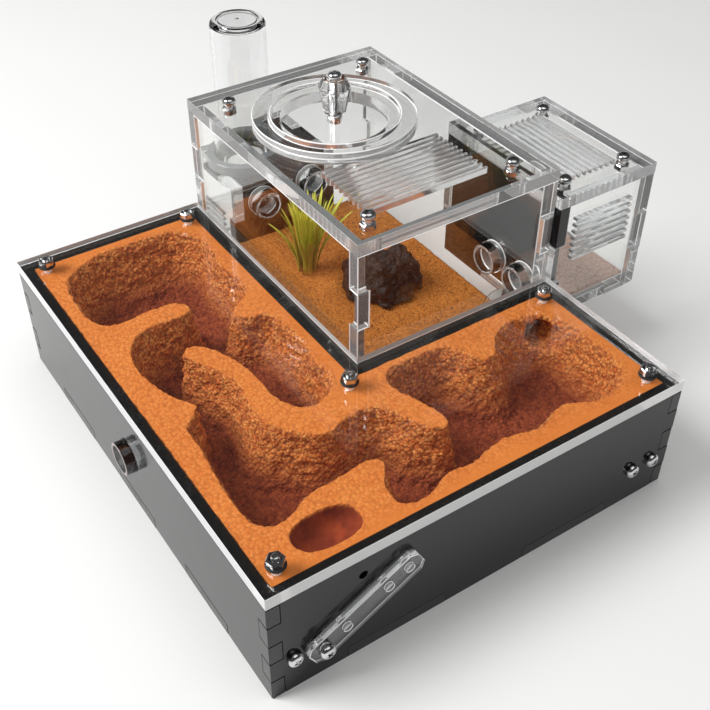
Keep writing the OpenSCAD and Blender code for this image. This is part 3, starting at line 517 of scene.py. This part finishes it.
def cutSheet(nodeName, materials):
    # a sheet with its cut edges chamfered: face, cut and chamfer each have a material; on clear sheets the
    # cut and chamfer materials carry painted light
    bm = joinedCopy(nodeName)
    lo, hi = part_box(nodeName)
    size = hi - lo
    thin = min(range(3), key=lambda i: size[i])
    mid = (lo[thin] + hi[thin]) / 2
    for v in bm.verts:  # a breath of air between sheets that touch
        v.co[thin] -= math.copysign(sheets["airGap"], v.co[thin] - mid)
    chamferEdges(bm, 1)

    def slotOf(face):
        across = abs(face.normal[thin])
        return 2 if 0.3 < across < 0.9 else int(across < 0.5)

    keepCut(nodeName, bm, slotOf, materials)


def cutTube(nodeName, along):
    # tubes: the two end faces are sawn and get the cut-edge material with its painted light, the rest is
    # clear
    bm = joinedCopy(nodeName)
    chamferEdges(bm, 2)
    keepCut(nodeName, bm, lambda face: int(abs(face.normal[along]) > 0.5), [clearTube, cutEdgePaintedLight])


for nodeName in sheets["black"]:
    cutSheet(nodeName, [blackAcrylic, blackEdge, blackEdge])
for nodeName in sheets["clear"]:
    # cut edges with painted light, brighter on the nest lid
    paintedEdgeLight = lidEdge if nodeName == "nest_lid" else cutEdgePaintedLight
    cutSheet(nodeName, [clearAcrylic, paintedEdgeLight, chamferPaintedHighlight])
cutSheet("tower_collar", [greyAcrylic] * 3)
for nodeName in sheets["tubes"]:
    cutTube(nodeName, 1 if nodeName in ("tunnel_tube", "rear_port_tubes") else 0)
dress("tower_bottle", clearBottle)
print("sheets and tubes cut")


plaster = {
    "voxel": 0.00085,
    "depth": 0.0245,
    "lumpSize": 0.0034,
    "lumpHeight": 0.0009,
    "crumbSize": 0.0016,
    "crumbHeight": 0.00055,
    "rimWave": 0.0004,
    "rimSize": 0.004,
    "rimTone": 0.35,
    "fade": 0.0016,
    "pitFrom": 0.42,
    "pitRise": 1.8,
    "dishRelief": 0.25,
    # where the painted shade of the gallery floors starts, and how far down it spreads
    "shadeDepthFrom": 0.45,
    "shadeDepthSpan": 0.42,
    "topColour": (0.76, 0.222, 0.037),
    "topPatch": (0.70, 0.19, 0.030),
    "wallColour": (0.82, 0.205, 0.038),
    # the next colour is painted shade, laid into the crumb gaps and pits of the carved walls
    "wallDark": (0.22, 0.032, 0.008),
    "wallLight": (1.0, 0.40, 0.105),
    # the next two colours are darker copies of the wall colours: painted shade on the gallery floors
    "floorColour": (0.17, 0.028, 0.010),
    "floorLight": (0.36, 0.08, 0.024),
    "dishColour": (0.34, 0.055, 0.014),
    "dishPatch": (0.20, 0.028, 0.008),
}


def plasterMaterial():
    mat, tree, shader = startMaterial("carvedPlaster")
    carved = tree.nodes.new("ShaderNodeAttribute")
    carved.attribute_name = "carved"
    pit = tree.nodes.new("ShaderNodeAttribute")
    pit.attribute_name = "pit"
    patches = placeGroup(tree, speckleGroup, Scale=45.0, Low=0.35, High=0.65)
    pores = placeGroup(tree, speckleGroup, Scale=500.0, Low=0.70, High=0.80)
    top = mixColour(tree, patches.outputs["Mask"], plaster["topColour"], plaster["topPatch"])
    top = mixColour(tree, mathNode(tree, "MULTIPLY", pores.outputs["Mask"], 0.5), top, plaster["wallColour"])
    deep = tree.nodes.new("ShaderNodeAttribute")
    deep.attribute_name = "deep"
    wet = tree.nodes.new("ShaderNodeAttribute")
    wet.attribute_name = "wet"
    crumbs = placeGroup(tree, crumbGroup, Scale=820.0, Gap=0.58)
    wall = mixColour(tree, crumbs.outputs["Tone"], plaster["wallColour"], plaster["wallLight"])
    # painted shade: the gallery floor takes darker copies of the wall colours, and the walls turn into it
    # with depth
    floor = mixColour(tree, crumbs.outputs["Tone"], plaster["floorColour"], plaster["floorLight"])
    wall = mixColour(tree, deep.outputs["Fac"], wall, floor)
    # painted shade: crumb gaps and pits darken, less so on the deep floors
    dark = mathNode(tree, "MAXIMUM", crumbs.outputs["Gaps"], pit.outputs["Fac"])
    dark = mathNode(tree, "MULTIPLY", dark, rangeNode(tree, deep.outputs["Fac"], 0, 1, 0.75, 0.4))
    wall = mixColour(tree, dark, wall, plaster["wallDark"])
    stain = placeGroup(tree, speckleGroup, Scale=130.0, Low=0.4, High=0.6)
    dish = mixColour(tree, stain.outputs["Mask"], plaster["dishColour"], plaster["dishPatch"])
    wall = mixColour(tree, wet.outputs["Fac"], wall, dish)
    tree.links.new(mixColour(tree, carved.outputs["Fac"], top, wall), shader.inputs["Base Color"])
    shader.inputs["Roughness"].default_value = 0.85
    shader.inputs["Specular IOR Level"].default_value = 0.25
    rough = rangeNode(tree, mathNode(tree, "SUBTRACT", carved.outputs["Fac"], wet.outputs["Fac"], clamp=True),
                      0, 1, 0.015, 1.0)
    height = mathNode(tree, "MULTIPLY", crumbs.outputs["Height"], rough)
    addBump(tree, shader, height, 0.0008, 1.0)
    return mat


def carvedFace(face, top, low):
    heights = [v.co.z for v in face.verts]
    return min(heights) > low and min(heights) < top - 1e-5


def makePlaster():
    lo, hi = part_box("nest_plaster")
    top = hi.z
    low = top - plaster["depth"]
    source = cadCopy("nest_plaster")
    wallTree = BVHTree.FromPolygons(*carvedPolygons(source, top, low))
    block = meshObject("plasterSource", source)
    step = block.modifiers.new("even", "REMESH")
    step.mode, step.voxel_size = "VOXEL", plaster["voxel"]
    bm = bmesh.new()
    bm.from_mesh(block.evaluated_get(bpy.context.evaluated_depsgraph_get()).to_mesh())
    bpy.data.objects.remove(block)
    carvedLayer = bm.verts.layers.float.new("carved")
    pitShadeLayer = bm.verts.layers.float.new("pit")
    depthShadeLayer = bm.verts.layers.float.new("deep")
    wetLayer = bm.verts.layers.float.new("wet")
    near = plaster["voxel"] * 0.7
    carved, rim = set(), set()
    for v in bm.verts:
        if v.co.z < low - near:
            continue
        away = wallTree.find_nearest(v.co)[3]
        if away < near and v.co.z < top - near:
            carved.add(v)
        elif away < near:
            rim.add(v)
    for v in bm.verts:  # the flat sides go back to their true places
        if v in carved:
            continue
        for i in range(3):
            for side in (lo[i], hi[i]):
                if abs(v.co[i] - side) < near:
                    v.co[i] = side
    flat = {f for f in bm.faces if not any(v in carved for v in f.verts)}
    flatEdges = [e for e in bm.edges if all(f in flat for f in e.link_faces)]
    print("plaster remeshed:", len(bm.faces), "faces,", len(carved), "carved points")
    for _ in range(2):
        bmesh.ops.smooth_vert(bm, verts=list(carved), factor=0.5, use_axis_x=True, use_axis_y=True,
                              use_axis_z=True)
    bm.normal_update()
    moves = {}
    dishLo, dishHi = dishBox()
    for v in carved:
        p = v.co
        inDish = dishLo.x < p.x < dishHi.x and dishLo.y < p.y < dishHi.y
        fade = min(1.0, (top - p.z) / plaster["fade"])
        lump = noise.fractal(p / plaster["lumpSize"], 1.0, 2.0, 2)
        gap = noise.voronoi(p / plaster["crumbSize"])[0][0]
        crumb = 0.5 - gap
        rise = lump * plaster["lumpHeight"] + crumb * 2 * plaster["crumbHeight"]
        # pit mask: painted shade in the pits between crumbs
        v[pitShadeLayer] = max(0.0, min(1.0, (gap - plaster["pitFrom"]) * plaster["pitRise"])) * fade
        if inDish:
            rise *= plaster["dishRelief"]
            v[wetLayer] = fade
        moves[v] = v.normal * rise * fade
    for v in carved:
        v[carvedLayer] = 1.0
        # depth share for the painted shade of the gallery floors
        share = (top - v.co.z) / plaster["depth"]
        v[depthShadeLayer] = max(0.0, min(1.0, (share - plaster["shadeDepthFrom"]) / plaster["shadeDepthSpan"])) ** 1.2
    for v in rim:
        p = v.co / plaster["rimSize"]
        moves[v] = Vector((noise.noise(p), noise.noise(p + Vector((7, 3, 1))), 0)) * plaster["rimWave"]
        v[carvedLayer] = plaster["rimTone"]
    for v, move in moves.items():
        v.co += move
    for f in bm.faces:
        f.smooth = f not in flat
    bmesh.ops.dissolve_limit(bm, angle_limit=0.015, use_dissolve_boundaries=False,
                             verts=[v for v in bm.verts if v not in carved and v not in rim],
                             edges=flatEdges, delimit=set())
    bmesh.ops.triangulate(bm, faces=[f for f in bm.faces if len(f.verts) > 4])
    print("plaster faces after the flats were joined:", len(bm.faces))
    keepPiece("plasterBlock", bm, plasterMaterial(), bodyOf("nest_plaster"),
              ["nest_plaster"], smooth=None)


def carvedPolygons(bm, top, low):
    # corners and triangles of the carved walls alone
    bm.verts.ensure_lookup_table()
    bm.verts.index_update()
    return ([v.co.copy() for v in bm.verts],
            [[v.index for v in f.verts] for f in bm.faces if carvedFace(f, top, low)])


def dishBox():
    # room round the water dish, by the front left corner of the plaster
    lo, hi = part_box("nest_plaster")
    return Vector((lo.x + 0.010, lo.y + 0.001, 0)), Vector((lo.x + 0.041, lo.y + 0.0195, 0))


makePlaster()
print("plaster carved")


sand = {
    "step": 0.0007,
    "sink": 0.0012,
    "ripple": 0.0006,
    "rippleSize": 0.02,
    "grain": 0.00035,
    "grainSize": 0.0014,
    "colour": (0.46, 0.135, 0.020),
    "light": (0.68, 0.25, 0.045),
    # dark: colour of the dark flecks, also used as painted shade between grains
    "dark": (0.12, 0.035, 0.010),
}


def grainMaterial(name, colour, light, dark, scale, bumpDepth):
    mat, tree, shader = startMaterial(name)
    grains = placeGroup(tree, crumbGroup, Scale=scale, Gap=0.45)
    flecks = placeGroup(tree, speckleGroup, Scale=scale * 0.55, Low=0.6, High=0.66)
    tone = mixColour(tree, grains.outputs["Tone"], colour, light)
    # painted shade in the gaps between grains
    tone = mixColour(tree, mathNode(tree, "MULTIPLY", grains.outputs["Gaps"], 0.7), tone, dark)
    tree.links.new(mixColour(tree, flecks.outputs["Mask"], tone, dark), shader.inputs["Base Color"])
    shader.inputs["Roughness"].default_value = 0.9
    shader.inputs["Specular IOR Level"].default_value = 0.2
    addBump(tree, shader, grains.outputs["Height"], bumpDepth, 1.0)
    return mat


def flatBed(nodeName, step, sink):
    # a fine grid a little under the node's top, with a skirt down to its bottom
    lo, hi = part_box(nodeName)
    size, mid = hi - lo, (lo + hi) / 2
    bm = bmesh.new()
    bmesh.ops.create_grid(bm, x_segments=int(size.x / step), y_segments=int(size.y / step), size=0.5)
    bmesh.ops.scale(bm, vec=(size.x, size.y, 1), verts=bm.verts)
    bmesh.ops.translate(bm, vec=(mid.x, mid.y, hi.z - sink), verts=bm.verts)
    topVerts = list(bm.verts)
    skirt = bmesh.ops.extrude_edge_only(bm, edges=[e for e in bm.edges if e.is_boundary])["geom"]
    for g in skirt:
        if isinstance(g, bmesh.types.BMVert):
            g.co.z = lo.z
    bmesh.ops.holes_fill(bm, edges=[e for e in bm.edges if e.is_boundary], sides=0)
    return bm, topVerts, hi.z


def makeSand():
    bm, topVerts, highest = flatBed("sand_bed", sand["step"], sand["sink"])
    for v in topVerts:
        p = v.co
        rise = noise.noise(p / sand["rippleSize"]) * sand["ripple"]
        rise += (0.5 - noise.voronoi(p / sand["grainSize"])[0][0]) * sand["grain"] * 2
        v.co.z = min(highest, p.z + rise)
    mat = grainMaterial("orangeSand", sand["colour"], sand["light"], sand["dark"], 1300.0, 0.0005)
    finishPiece("sandBed", bm, mat, bodyOf("sand_bed"), ["sand_bed"])


rockLook = {
    "colour": (0.008, 0.006, 0.005),
    "light": (0.045, 0.028, 0.02),
    "lump": 0.006,
    "rise": 0.0019,
    "dentSize": 0.0032,
    "dentFrom": 0.35,
    "dent": 0.0022,
    "edgeSizes": (0.008, 0.005, 0.003, 0.002, 0.0013, 0.0009),
}


def rockMaterial():
    mat, tree, shader = startMaterial("blackRock")
    pores = placeGroup(tree, crumbGroup, Scale=620.0, Gap=0.35)
    dust = placeGroup(tree, speckleGroup, Scale=240.0, Low=0.52, High=0.75)
    tone = mixColour(tree, dust.outputs["Mask"], rockLook["colour"], rockLook["light"])
    # painted shade in the pores
    tone = mixColour(tree, pores.outputs["Gaps"], tone, (0.004, 0.004, 0.004))
    tree.links.new(tone, shader.inputs["Base Color"])
    shader.inputs["Roughness"].default_value = 0.55
    shader.inputs["Specular IOR Level"].default_value = 0.3
    addBump(tree, shader, pores.outputs["Height"], 0.0007, 1.0)
    return mat


def makeRock():
    bm = cadCopy("rock")
    for size in rockLook["edgeSizes"]:
        for _ in range(3):
            long = [e for e in bm.edges if e.calc_length() > size]
            if not long:
                break
            bmesh.ops.subdivide_edges(bm, edges=long, cuts=1)
            bmesh.ops.triangulate(bm, faces=[f for f in bm.faces if len(f.verts) > 3],
                                  quad_method="SHORT_EDGE")
    for _ in range(8):
        bmesh.ops.smooth_vert(bm, verts=bm.verts, factor=0.5, use_axis_x=True, use_axis_y=True,
                              use_axis_z=True)
    bm.normal_update()
    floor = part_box("rock")[0].z
    for v in bm.verts:
        p = v.co
        rise = noise.fractal(p / rockLook["lump"], 0.9, 2.1, 4) * rockLook["rise"]
        dent = noise.voronoi(p / rockLook["dentSize"])[0][0]
        rise -= max(0.0, rockLook["dentFrom"] - dent) * rockLook["dent"]
        v.co += v.normal * rise
        v.co.z = max(v.co.z, floor)
    finishPiece("rockPiece", bm, rockMaterial(), bodyOf("rock"), ["rock"])


grass = {
    "blades": 40,
    "height": 0.050,
    "width": 0.0022,
    "spread": 0.0042,
    "lean": 0.016,
    "steps": 9,
    "root": (0.30, 0.34, 0.025),
    "tip": (0.80, 0.76, 0.07),
}


def grassMaterial():
    mat, tree, shader = startMaterial("grassBlade")
    along = tree.nodes.new("ShaderNodeAttribute")
    along.attribute_name = "along"
    veins = placeGroup(tree, speckleGroup, Scale=700.0, Low=0.35, High=0.7)
    tone = mixColour(tree, along.outputs["Fac"], grass["root"], grass["tip"])
    tone = mixColour(tree, mathNode(tree, "MULTIPLY", veins.outputs["Mask"], 0.35), tone, (0.75, 0.70, 0.12))
    tree.links.new(tone, shader.inputs["Base Color"])
    shader.inputs["Roughness"].default_value = 0.42
    addBump(tree, shader, veins.outputs["Mask"], 0.0002, 0.6)
    return mat


def addBlade(bm, layer, root, height, width, lean, turn, twist):
    # a folded strip that thins to its tip, with a rounded back
    rows = []
    for k in range(grass["steps"] + 1):
        t = k / grass["steps"]
        half = width / 2 * (0.55 + 1.1 * t) * (1 - t ** 2.2) + 0.00012
        along = lean * t ** 2
        z = height * (t - 0.10 * t ** 3)
        side = Matrix.Rotation(turn + twist * t, 3, "Z")
        ahead = Matrix.Rotation(turn, 3, "Z") @ Vector((along, 0, z))
        row = []
        for a, b in ((-1, 0.18), (-0.5, 0), (0.5, 0), (1, 0.18), (0.5, 0.16), (-0.5, 0.16)):
            v = bm.verts.new(root + ahead + side @ Vector((b * half * 1.4, a * half, 0)))
            v[layer] = t
            row.append(v)
        rows.append(row)
    for low, high in zip(rows, rows[1:]):
        for i in range(6):
            j = (i + 1) % 6
            bm.faces.new((low[i], low[j], high[j], high[i]))
    bm.faces.new(reversed(rows[0]))
    bm.faces.new(rows[-1])


def makeGrass():
    lo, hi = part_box("grass_plant")
    rng = random.Random(7)
    bm = bmesh.new()
    layer = bm.verts.layers.float.new("along")
    root = Vector(((lo.x + hi.x) / 2, (lo.y + hi.y) / 2, lo.z))
    for i in range(grass["blades"]):
        turn = i * 2.39996 + rng.uniform(-0.3, 0.3)
        share = i / grass["blades"]
        ring = grass["spread"] * math.sqrt(share)
        start = root + Vector((math.cos(turn) * ring, math.sin(turn) * ring, 0.0003))
        height = min(grass["height"] * (1 - 0.45 * share) * rng.uniform(0.8, 1.0), hi.z - lo.z - 0.001)
        lean = grass["lean"] * (0.15 + 0.85 * share) * rng.uniform(0.6, 1.1)
        width = grass["width"] * rng.uniform(0.75, 1.1)
        addBlade(bm, layer, start, height, width, lean, turn, rng.uniform(-0.5, 0.5))
    finishPiece("grassTuft", bm, grassMaterial(), bodyOf("grass_plant"), ["grass_plant"])


matPad = {
    "step": 0.0009,
    "sink": 0.00025,
    "rise": 0.0002,
    "riseSize": 0.0022,
    "colour": (0.52, 0.33, 0.26),
    "light": (0.66, 0.46, 0.37),
    # dark: colour of the dark flecks, also used as painted shade between grains
    "dark": (0.35, 0.20, 0.15),
}


def makeMat():
    bm, topVerts, highest = flatBed("side_floor_mat", matPad["step"], matPad["sink"])
    for v in topVerts:
        v.co.z = min(highest, v.co.z + noise.noise(v.co / matPad["riseSize"]) * matPad["rise"])
    mat = grainMaterial("mauveMat", matPad["colour"], matPad["light"], matPad["dark"], 900.0, 0.0002)
    finishPiece("matPad", bm, mat, bodyOf("side_floor_mat"), ["side_floor_mat"])


def makePlug():
    # packed cotton: a rounded stopper with fluffy ends
    lo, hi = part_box("tower_plug")
    r, h = (hi.x - lo.x) / 2, hi.z - lo.z
    edge = r * 0.22
    profile = [(0, 0.0002), (r - edge, 0.0003), (r - edge * 0.3, edge * 0.3), (r - 0.0002, edge),
               (r - 0.0002, h / 2), (r - 0.0002, h - edge), (r - edge * 0.3, h - edge * 0.3),
               (r - edge, h - 0.0003), (0, h - 0.0002)]
    bm = spun(profile, 40, ((lo.x + hi.x) / 2, (lo.y + hi.y) / 2, lo.z))
    long = [e for e in bm.edges if e.calc_length() > 0.0012]
    bmesh.ops.subdivide_edges(bm, edges=long, cuts=2, use_grid_fill=True)
    bm.normal_update()
    for v in bm.verts:
        v.co += v.normal * (noise.fractal(v.co / 0.0016, 0.8, 2.0, 3) - 0.6) * 0.00018
    mat, tree, shader = startMaterial("plugCotton")
    fibres = placeGroup(tree, speckleGroup, Scale=1500.0, Low=0.35, High=0.65)
    tree.links.new(mixColour(tree, fibres.outputs["Mask"], (0.62, 0.61, 0.58), (0.82, 0.81, 0.79)),
                   shader.inputs["Base Color"])
    shader.inputs["Roughness"].default_value = 0.95
    shader.inputs["Sheen Weight"].default_value = 0.4
    addBump(tree, shader, fibres.outputs["Mask"], 0.0004, 0.8)
    finishPiece("cottonPlug", bm, mat, bodyOf("tower_plug"), ["tower_plug"])


makeSand()
makeRock()
makeGrass()
makeMat()
makePlug()
print("inside furnishing ready")


fastener = {
    "screwRadius": 0.0015,
    "pitch": 0.0005,
    "bevel": 0.00022,
    "threadDepth": 0.00022,
    "headHeight": 0.0024,
    "studHead": 0.0021,
    "studHeadEdge": 0.0003,
    "plainTip": 0.012,
    "boreGap": 0.0001,
}


def threadedRod(radius, low, high, plainTo):
    # a rod whose upper end carries thread ridges and a chamfer
    profile = [(0, low), (radius, low), (radius, plainTo)]
    z = plainTo
    while z < high - fastener["pitch"] * 1.4:
        profile += [(radius, z + 0.00005), (radius - fastener["threadDepth"], z + fastener["pitch"] / 2),
                    (radius, z + fastener["pitch"] - 0.00005)]
        z += fastener["pitch"]
    profile += [(radius - 0.0003, high - 0.00008), (radius - 0.0005, high), (0, high)]
    return spun(profile, 24)


def hexNut(flats, height, bore):
    # hexagon with its corners chamfered on both faces and a bored middle
    bm = bmesh.new()
    bmesh.ops.create_cone(bm, cap_ends=True, segments=6, radius1=flats / 2 / math.cos(math.pi / 6),
                          radius2=flats / 2 / math.cos(math.pi / 6), depth=height)
    caps = [f for f in bm.faces if abs(f.normal.z) > 0.9]
    for cap in caps:
        up = math.copysign(1, cap.normal.z)
        ring = bmesh.ops.inset_region(bm, faces=[cap], thickness=flats * 0.06, depth=0)["faces"]
        outer = {v for f in ring for v in f.verts} - set(cap.verts)
        for v in outer:
            v.co.z -= up * height * 0.13
    bmesh.ops.bevel(bm, geom=[e for e in bm.edges if abs(e.verts[0].co.z - e.verts[1].co.z) > height * 0.5],
                    offset=fastener["bevel"], segments=2, profile=0.5, affect="EDGES", material=-1)
    caps = sorted((f for f in bm.faces if abs(f.normal.z) > 0.99), key=lambda f: f.calc_center_median().z)
    for cap in (caps[0], caps[-1]):
        bmesh.ops.inset_region(bm, faces=[cap], thickness=flats / 2 - bore - 0.0006, depth=0)
    caps = sorted((f for f in bm.faces if abs(f.normal.z) > 0.99 and f.calc_center_median().xy.length < 1e-5),
                  key=lambda f: f.calc_area())[:2]
    caps.sort(key=lambda f: f.calc_center_median().z)
    bmesh.ops.bridge_loops(bm, edges=[e for f in caps for e in f.edges])
    bmesh.ops.delete(bm, geom=caps, context="FACES_ONLY")
    return bm


def panHead(radius, height):
    # domed head with a cross recess
    profile = [(0, 0), (radius * 0.97, 0), (radius, height * 0.08), (radius, height * 0.42),
               (radius * 0.955, height * 0.62), (radius * 0.85, height * 0.8), (radius * 0.66, height * 0.93),
               (radius * 0.4, height * 0.99), (0, height)]
    head = spun(profile, 40)
    arm, width, deep = radius * 0.62, radius * 0.17, height * 0.62
    cut = bmesh.new()
    for turn in (0, math.pi / 2):
        bar = bmesh.new()
        bmesh.ops.create_cube(bar, size=1.0)
        bmesh.ops.scale(bar, vec=(arm * 2, width * 2, deep * 2), verts=bar.verts)
        for v in bar.verts:
            if v.co.z < 0:
                v.co.x *= 0.45
                v.co.y *= 0.7
        addMesh(cut, bar, Matrix.Translation((0, 0, height + 0.0001)) @ Matrix.Rotation(turn, 4, "Z"))
        bar.free()
    return subtract(head, cut)


def subtract(bm, cut):
    # bm minus cut, as a new bmesh
    body, tool = meshObject("cutBody", bm), meshObject("cutTool", cut)
    step = body.modifiers.new("cut", "BOOLEAN")
    step.operation, step.solver, step.use_self = "DIFFERENCE", "EXACT", True
    step.object = tool
    result = bmesh.new()
    depsgraph = bpy.context.evaluated_depsgraph_get()
    result.from_mesh(body.evaluated_get(depsgraph).to_mesh())
    for made in (body, tool):
        bpy.data.objects.remove(made)
    return result


def solidsOf(nodeName):
    # middle, lowest and highest corner of each solid of a node
    return [((lo + hi) / 2, lo, hi) for lo, hi in looseParts(nodeName)]


def makeStuds():
    bm = bmesh.new()
    deep, edge = fastener["studHead"], fastener["studHeadEdge"]
    for mid, lo, hi in solidsOf("lid_studs"):
        wide = (hi.x - lo.x) / 2
        rod = threadedRod(fastener["screwRadius"], lo.z + 0.0022, hi.z, hi.z - fastener["plainTip"])
        profile = [(0, lo.z), (wide - edge, lo.z), (wide, lo.z + edge), (wide, lo.z + deep), (0, lo.z + deep)]
        head = spun(profile, 32)
        for part in (rod, head):
            addMesh(bm, part, Matrix.Translation((mid.x, mid.y, 0)))
            part.free()
    sharpEdges(bm, 35)
    finishPiece("lidStuds", bm, chromeSteel, bodyOf("lid_studs"), ["lid_studs"])


def makeNuts(name, nodeName, turns):
    bm = bmesh.new()
    for i, (mid, lo, hi) in enumerate(solidsOf(nodeName)):
        bore = fastener["screwRadius"] + fastener["boreGap"]
        nut = hexNut(min(hi.x - lo.x, hi.y - lo.y), hi.z - lo.z, bore)
        turn = Matrix.Rotation(math.radians(turns[i % len(turns)]), 4, "Z")
        addMesh(bm, nut, Matrix.Translation(mid) @ turn)
        nut.free()
    sharpEdges(bm, 25)
    finishPiece(name, bm, chromeSteel, bodyOf(nodeName), [nodeName])


def makeWashers():
    bm = bmesh.new()
    for mid, lo, hi in solidsOf("lid_washers"):
        r, h = (hi.x - lo.x) / 2, hi.z - lo.z
        inner, edge = fastener["screwRadius"] + fastener["boreGap"], h * 0.3
        ring = spun([(inner, 0), (r - edge, 0), (r - edge * 0.3, edge * 0.3), (r, edge), (r, h - edge),
                     (r - edge * 0.3, h - edge * 0.3), (r - edge, h), (inner, h), (inner, 0)], 40)
        addMesh(bm, ring, Matrix.Translation((mid.x, mid.y, lo.z)))
        ring.free()
    sharpEdges(bm, 50)
    finishPiece("lidWashers", bm, washerRubber, bodyOf("lid_washers"), ["lid_washers"])


def makeScrews(name, nodeName, axis, turns):
    # axis is the way that the heads face
    bm = bmesh.new()
    upright = Vector((0, 0, 1)).rotation_difference(Vector(axis)).to_matrix().to_4x4()
    for i, (mid, lo, hi) in enumerate(solidsOf(nodeName)):
        size = hi - lo
        length = max(size)
        across = sorted(size)[0] / 2
        headHeight = fastener["headHeight"]
        tip = mid + Vector(axis) * length / 2
        head = panHead(across, headHeight)
        rod = threadedRod(fastener["screwRadius"], 0, length - headHeight + 0.0001, 0.0008)
        bmesh.ops.rotate(rod, verts=rod.verts, matrix=Matrix.Rotation(math.pi, 3, "X"))
        bmesh.ops.translate(rod, verts=rod.verts, vec=(0, 0, 0.0001))
        place = Matrix.Translation(tip - Vector(axis) * headHeight) @ upright @ Matrix.Rotation(
            math.radians(turns[i % len(turns)]), 4, "Z")
        for part in (head, rod):
            addMesh(bm, part, place)
            part.free()
    sharpEdges(bm, 32)
    finishPiece(name, bm, chromeSteel, bodyOf(nodeName), [nodeName])


makeStuds()
makeNuts("lidNuts", "lid_nuts", [12, 40, 5, 28, 51, 19])
makeNuts("forageLidNuts", "forage_lid_nuts", [8, 33, 50, 21])
makeNuts("sideLidNuts", "side_lid_nuts", [17, 44, 3, 30])
makeNuts("hatchNut", "hatch_nut", [10])
makeWashers()
makeScrews("frontScrews", "front_screws", (0, -1, 0), [20, 65, 38])
makeScrews("pivotScrew", "pivot_screw", (0, -1, 0), [48])
makeScrews("forageLidScrews", "forage_lid_screws", (0, 0, 1), [15, 58, 33, 74])
makeScrews("sideLidScrews", "side_lid_screws", (0, 0, 1), [40, 12, 66, 25])
makeScrews("hatchScrew", "hatch_screw", (0, 0, 1), [30])
print("fasteners ready")


knob = {
    "sides": 8,
    "edge": 0.0004,
    "baseRadius": 0.0045,
    "topRadius": 0.0067,
    "rise": 0.0105,
    "crown": 0.0035,
}


def makeKnob():
    lo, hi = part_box("hatch_knob")
    mid = (lo + hi) / 2
    bore = fastener["screwRadius"] + fastener["boreGap"]
    tall = knob["rise"] + knob["crown"]
    turned = [(bore, 0), (knob["baseRadius"], 0), (knob["topRadius"], knob["rise"]),
              (knob["baseRadius"], tall), (bore, tall), (bore, 0)]
    bm = spun(turned, knob["sides"], (mid.x, mid.y, lo.z))
    outer = [e for e in bm.edges if min((v.co.xy - mid.xy).length for v in e.verts) > bore * 1.5]
    bmesh.ops.bevel(bm, geom=outer, offset=knob["edge"], segments=2, profile=0.5, affect="EDGES", material=-1)
    finishPiece("hatchKnob", bm, knobCrystal, bodyOf("hatch_knob"), ["hatch_knob"],
                smooth=False)


makeKnob()
print("knob ready")
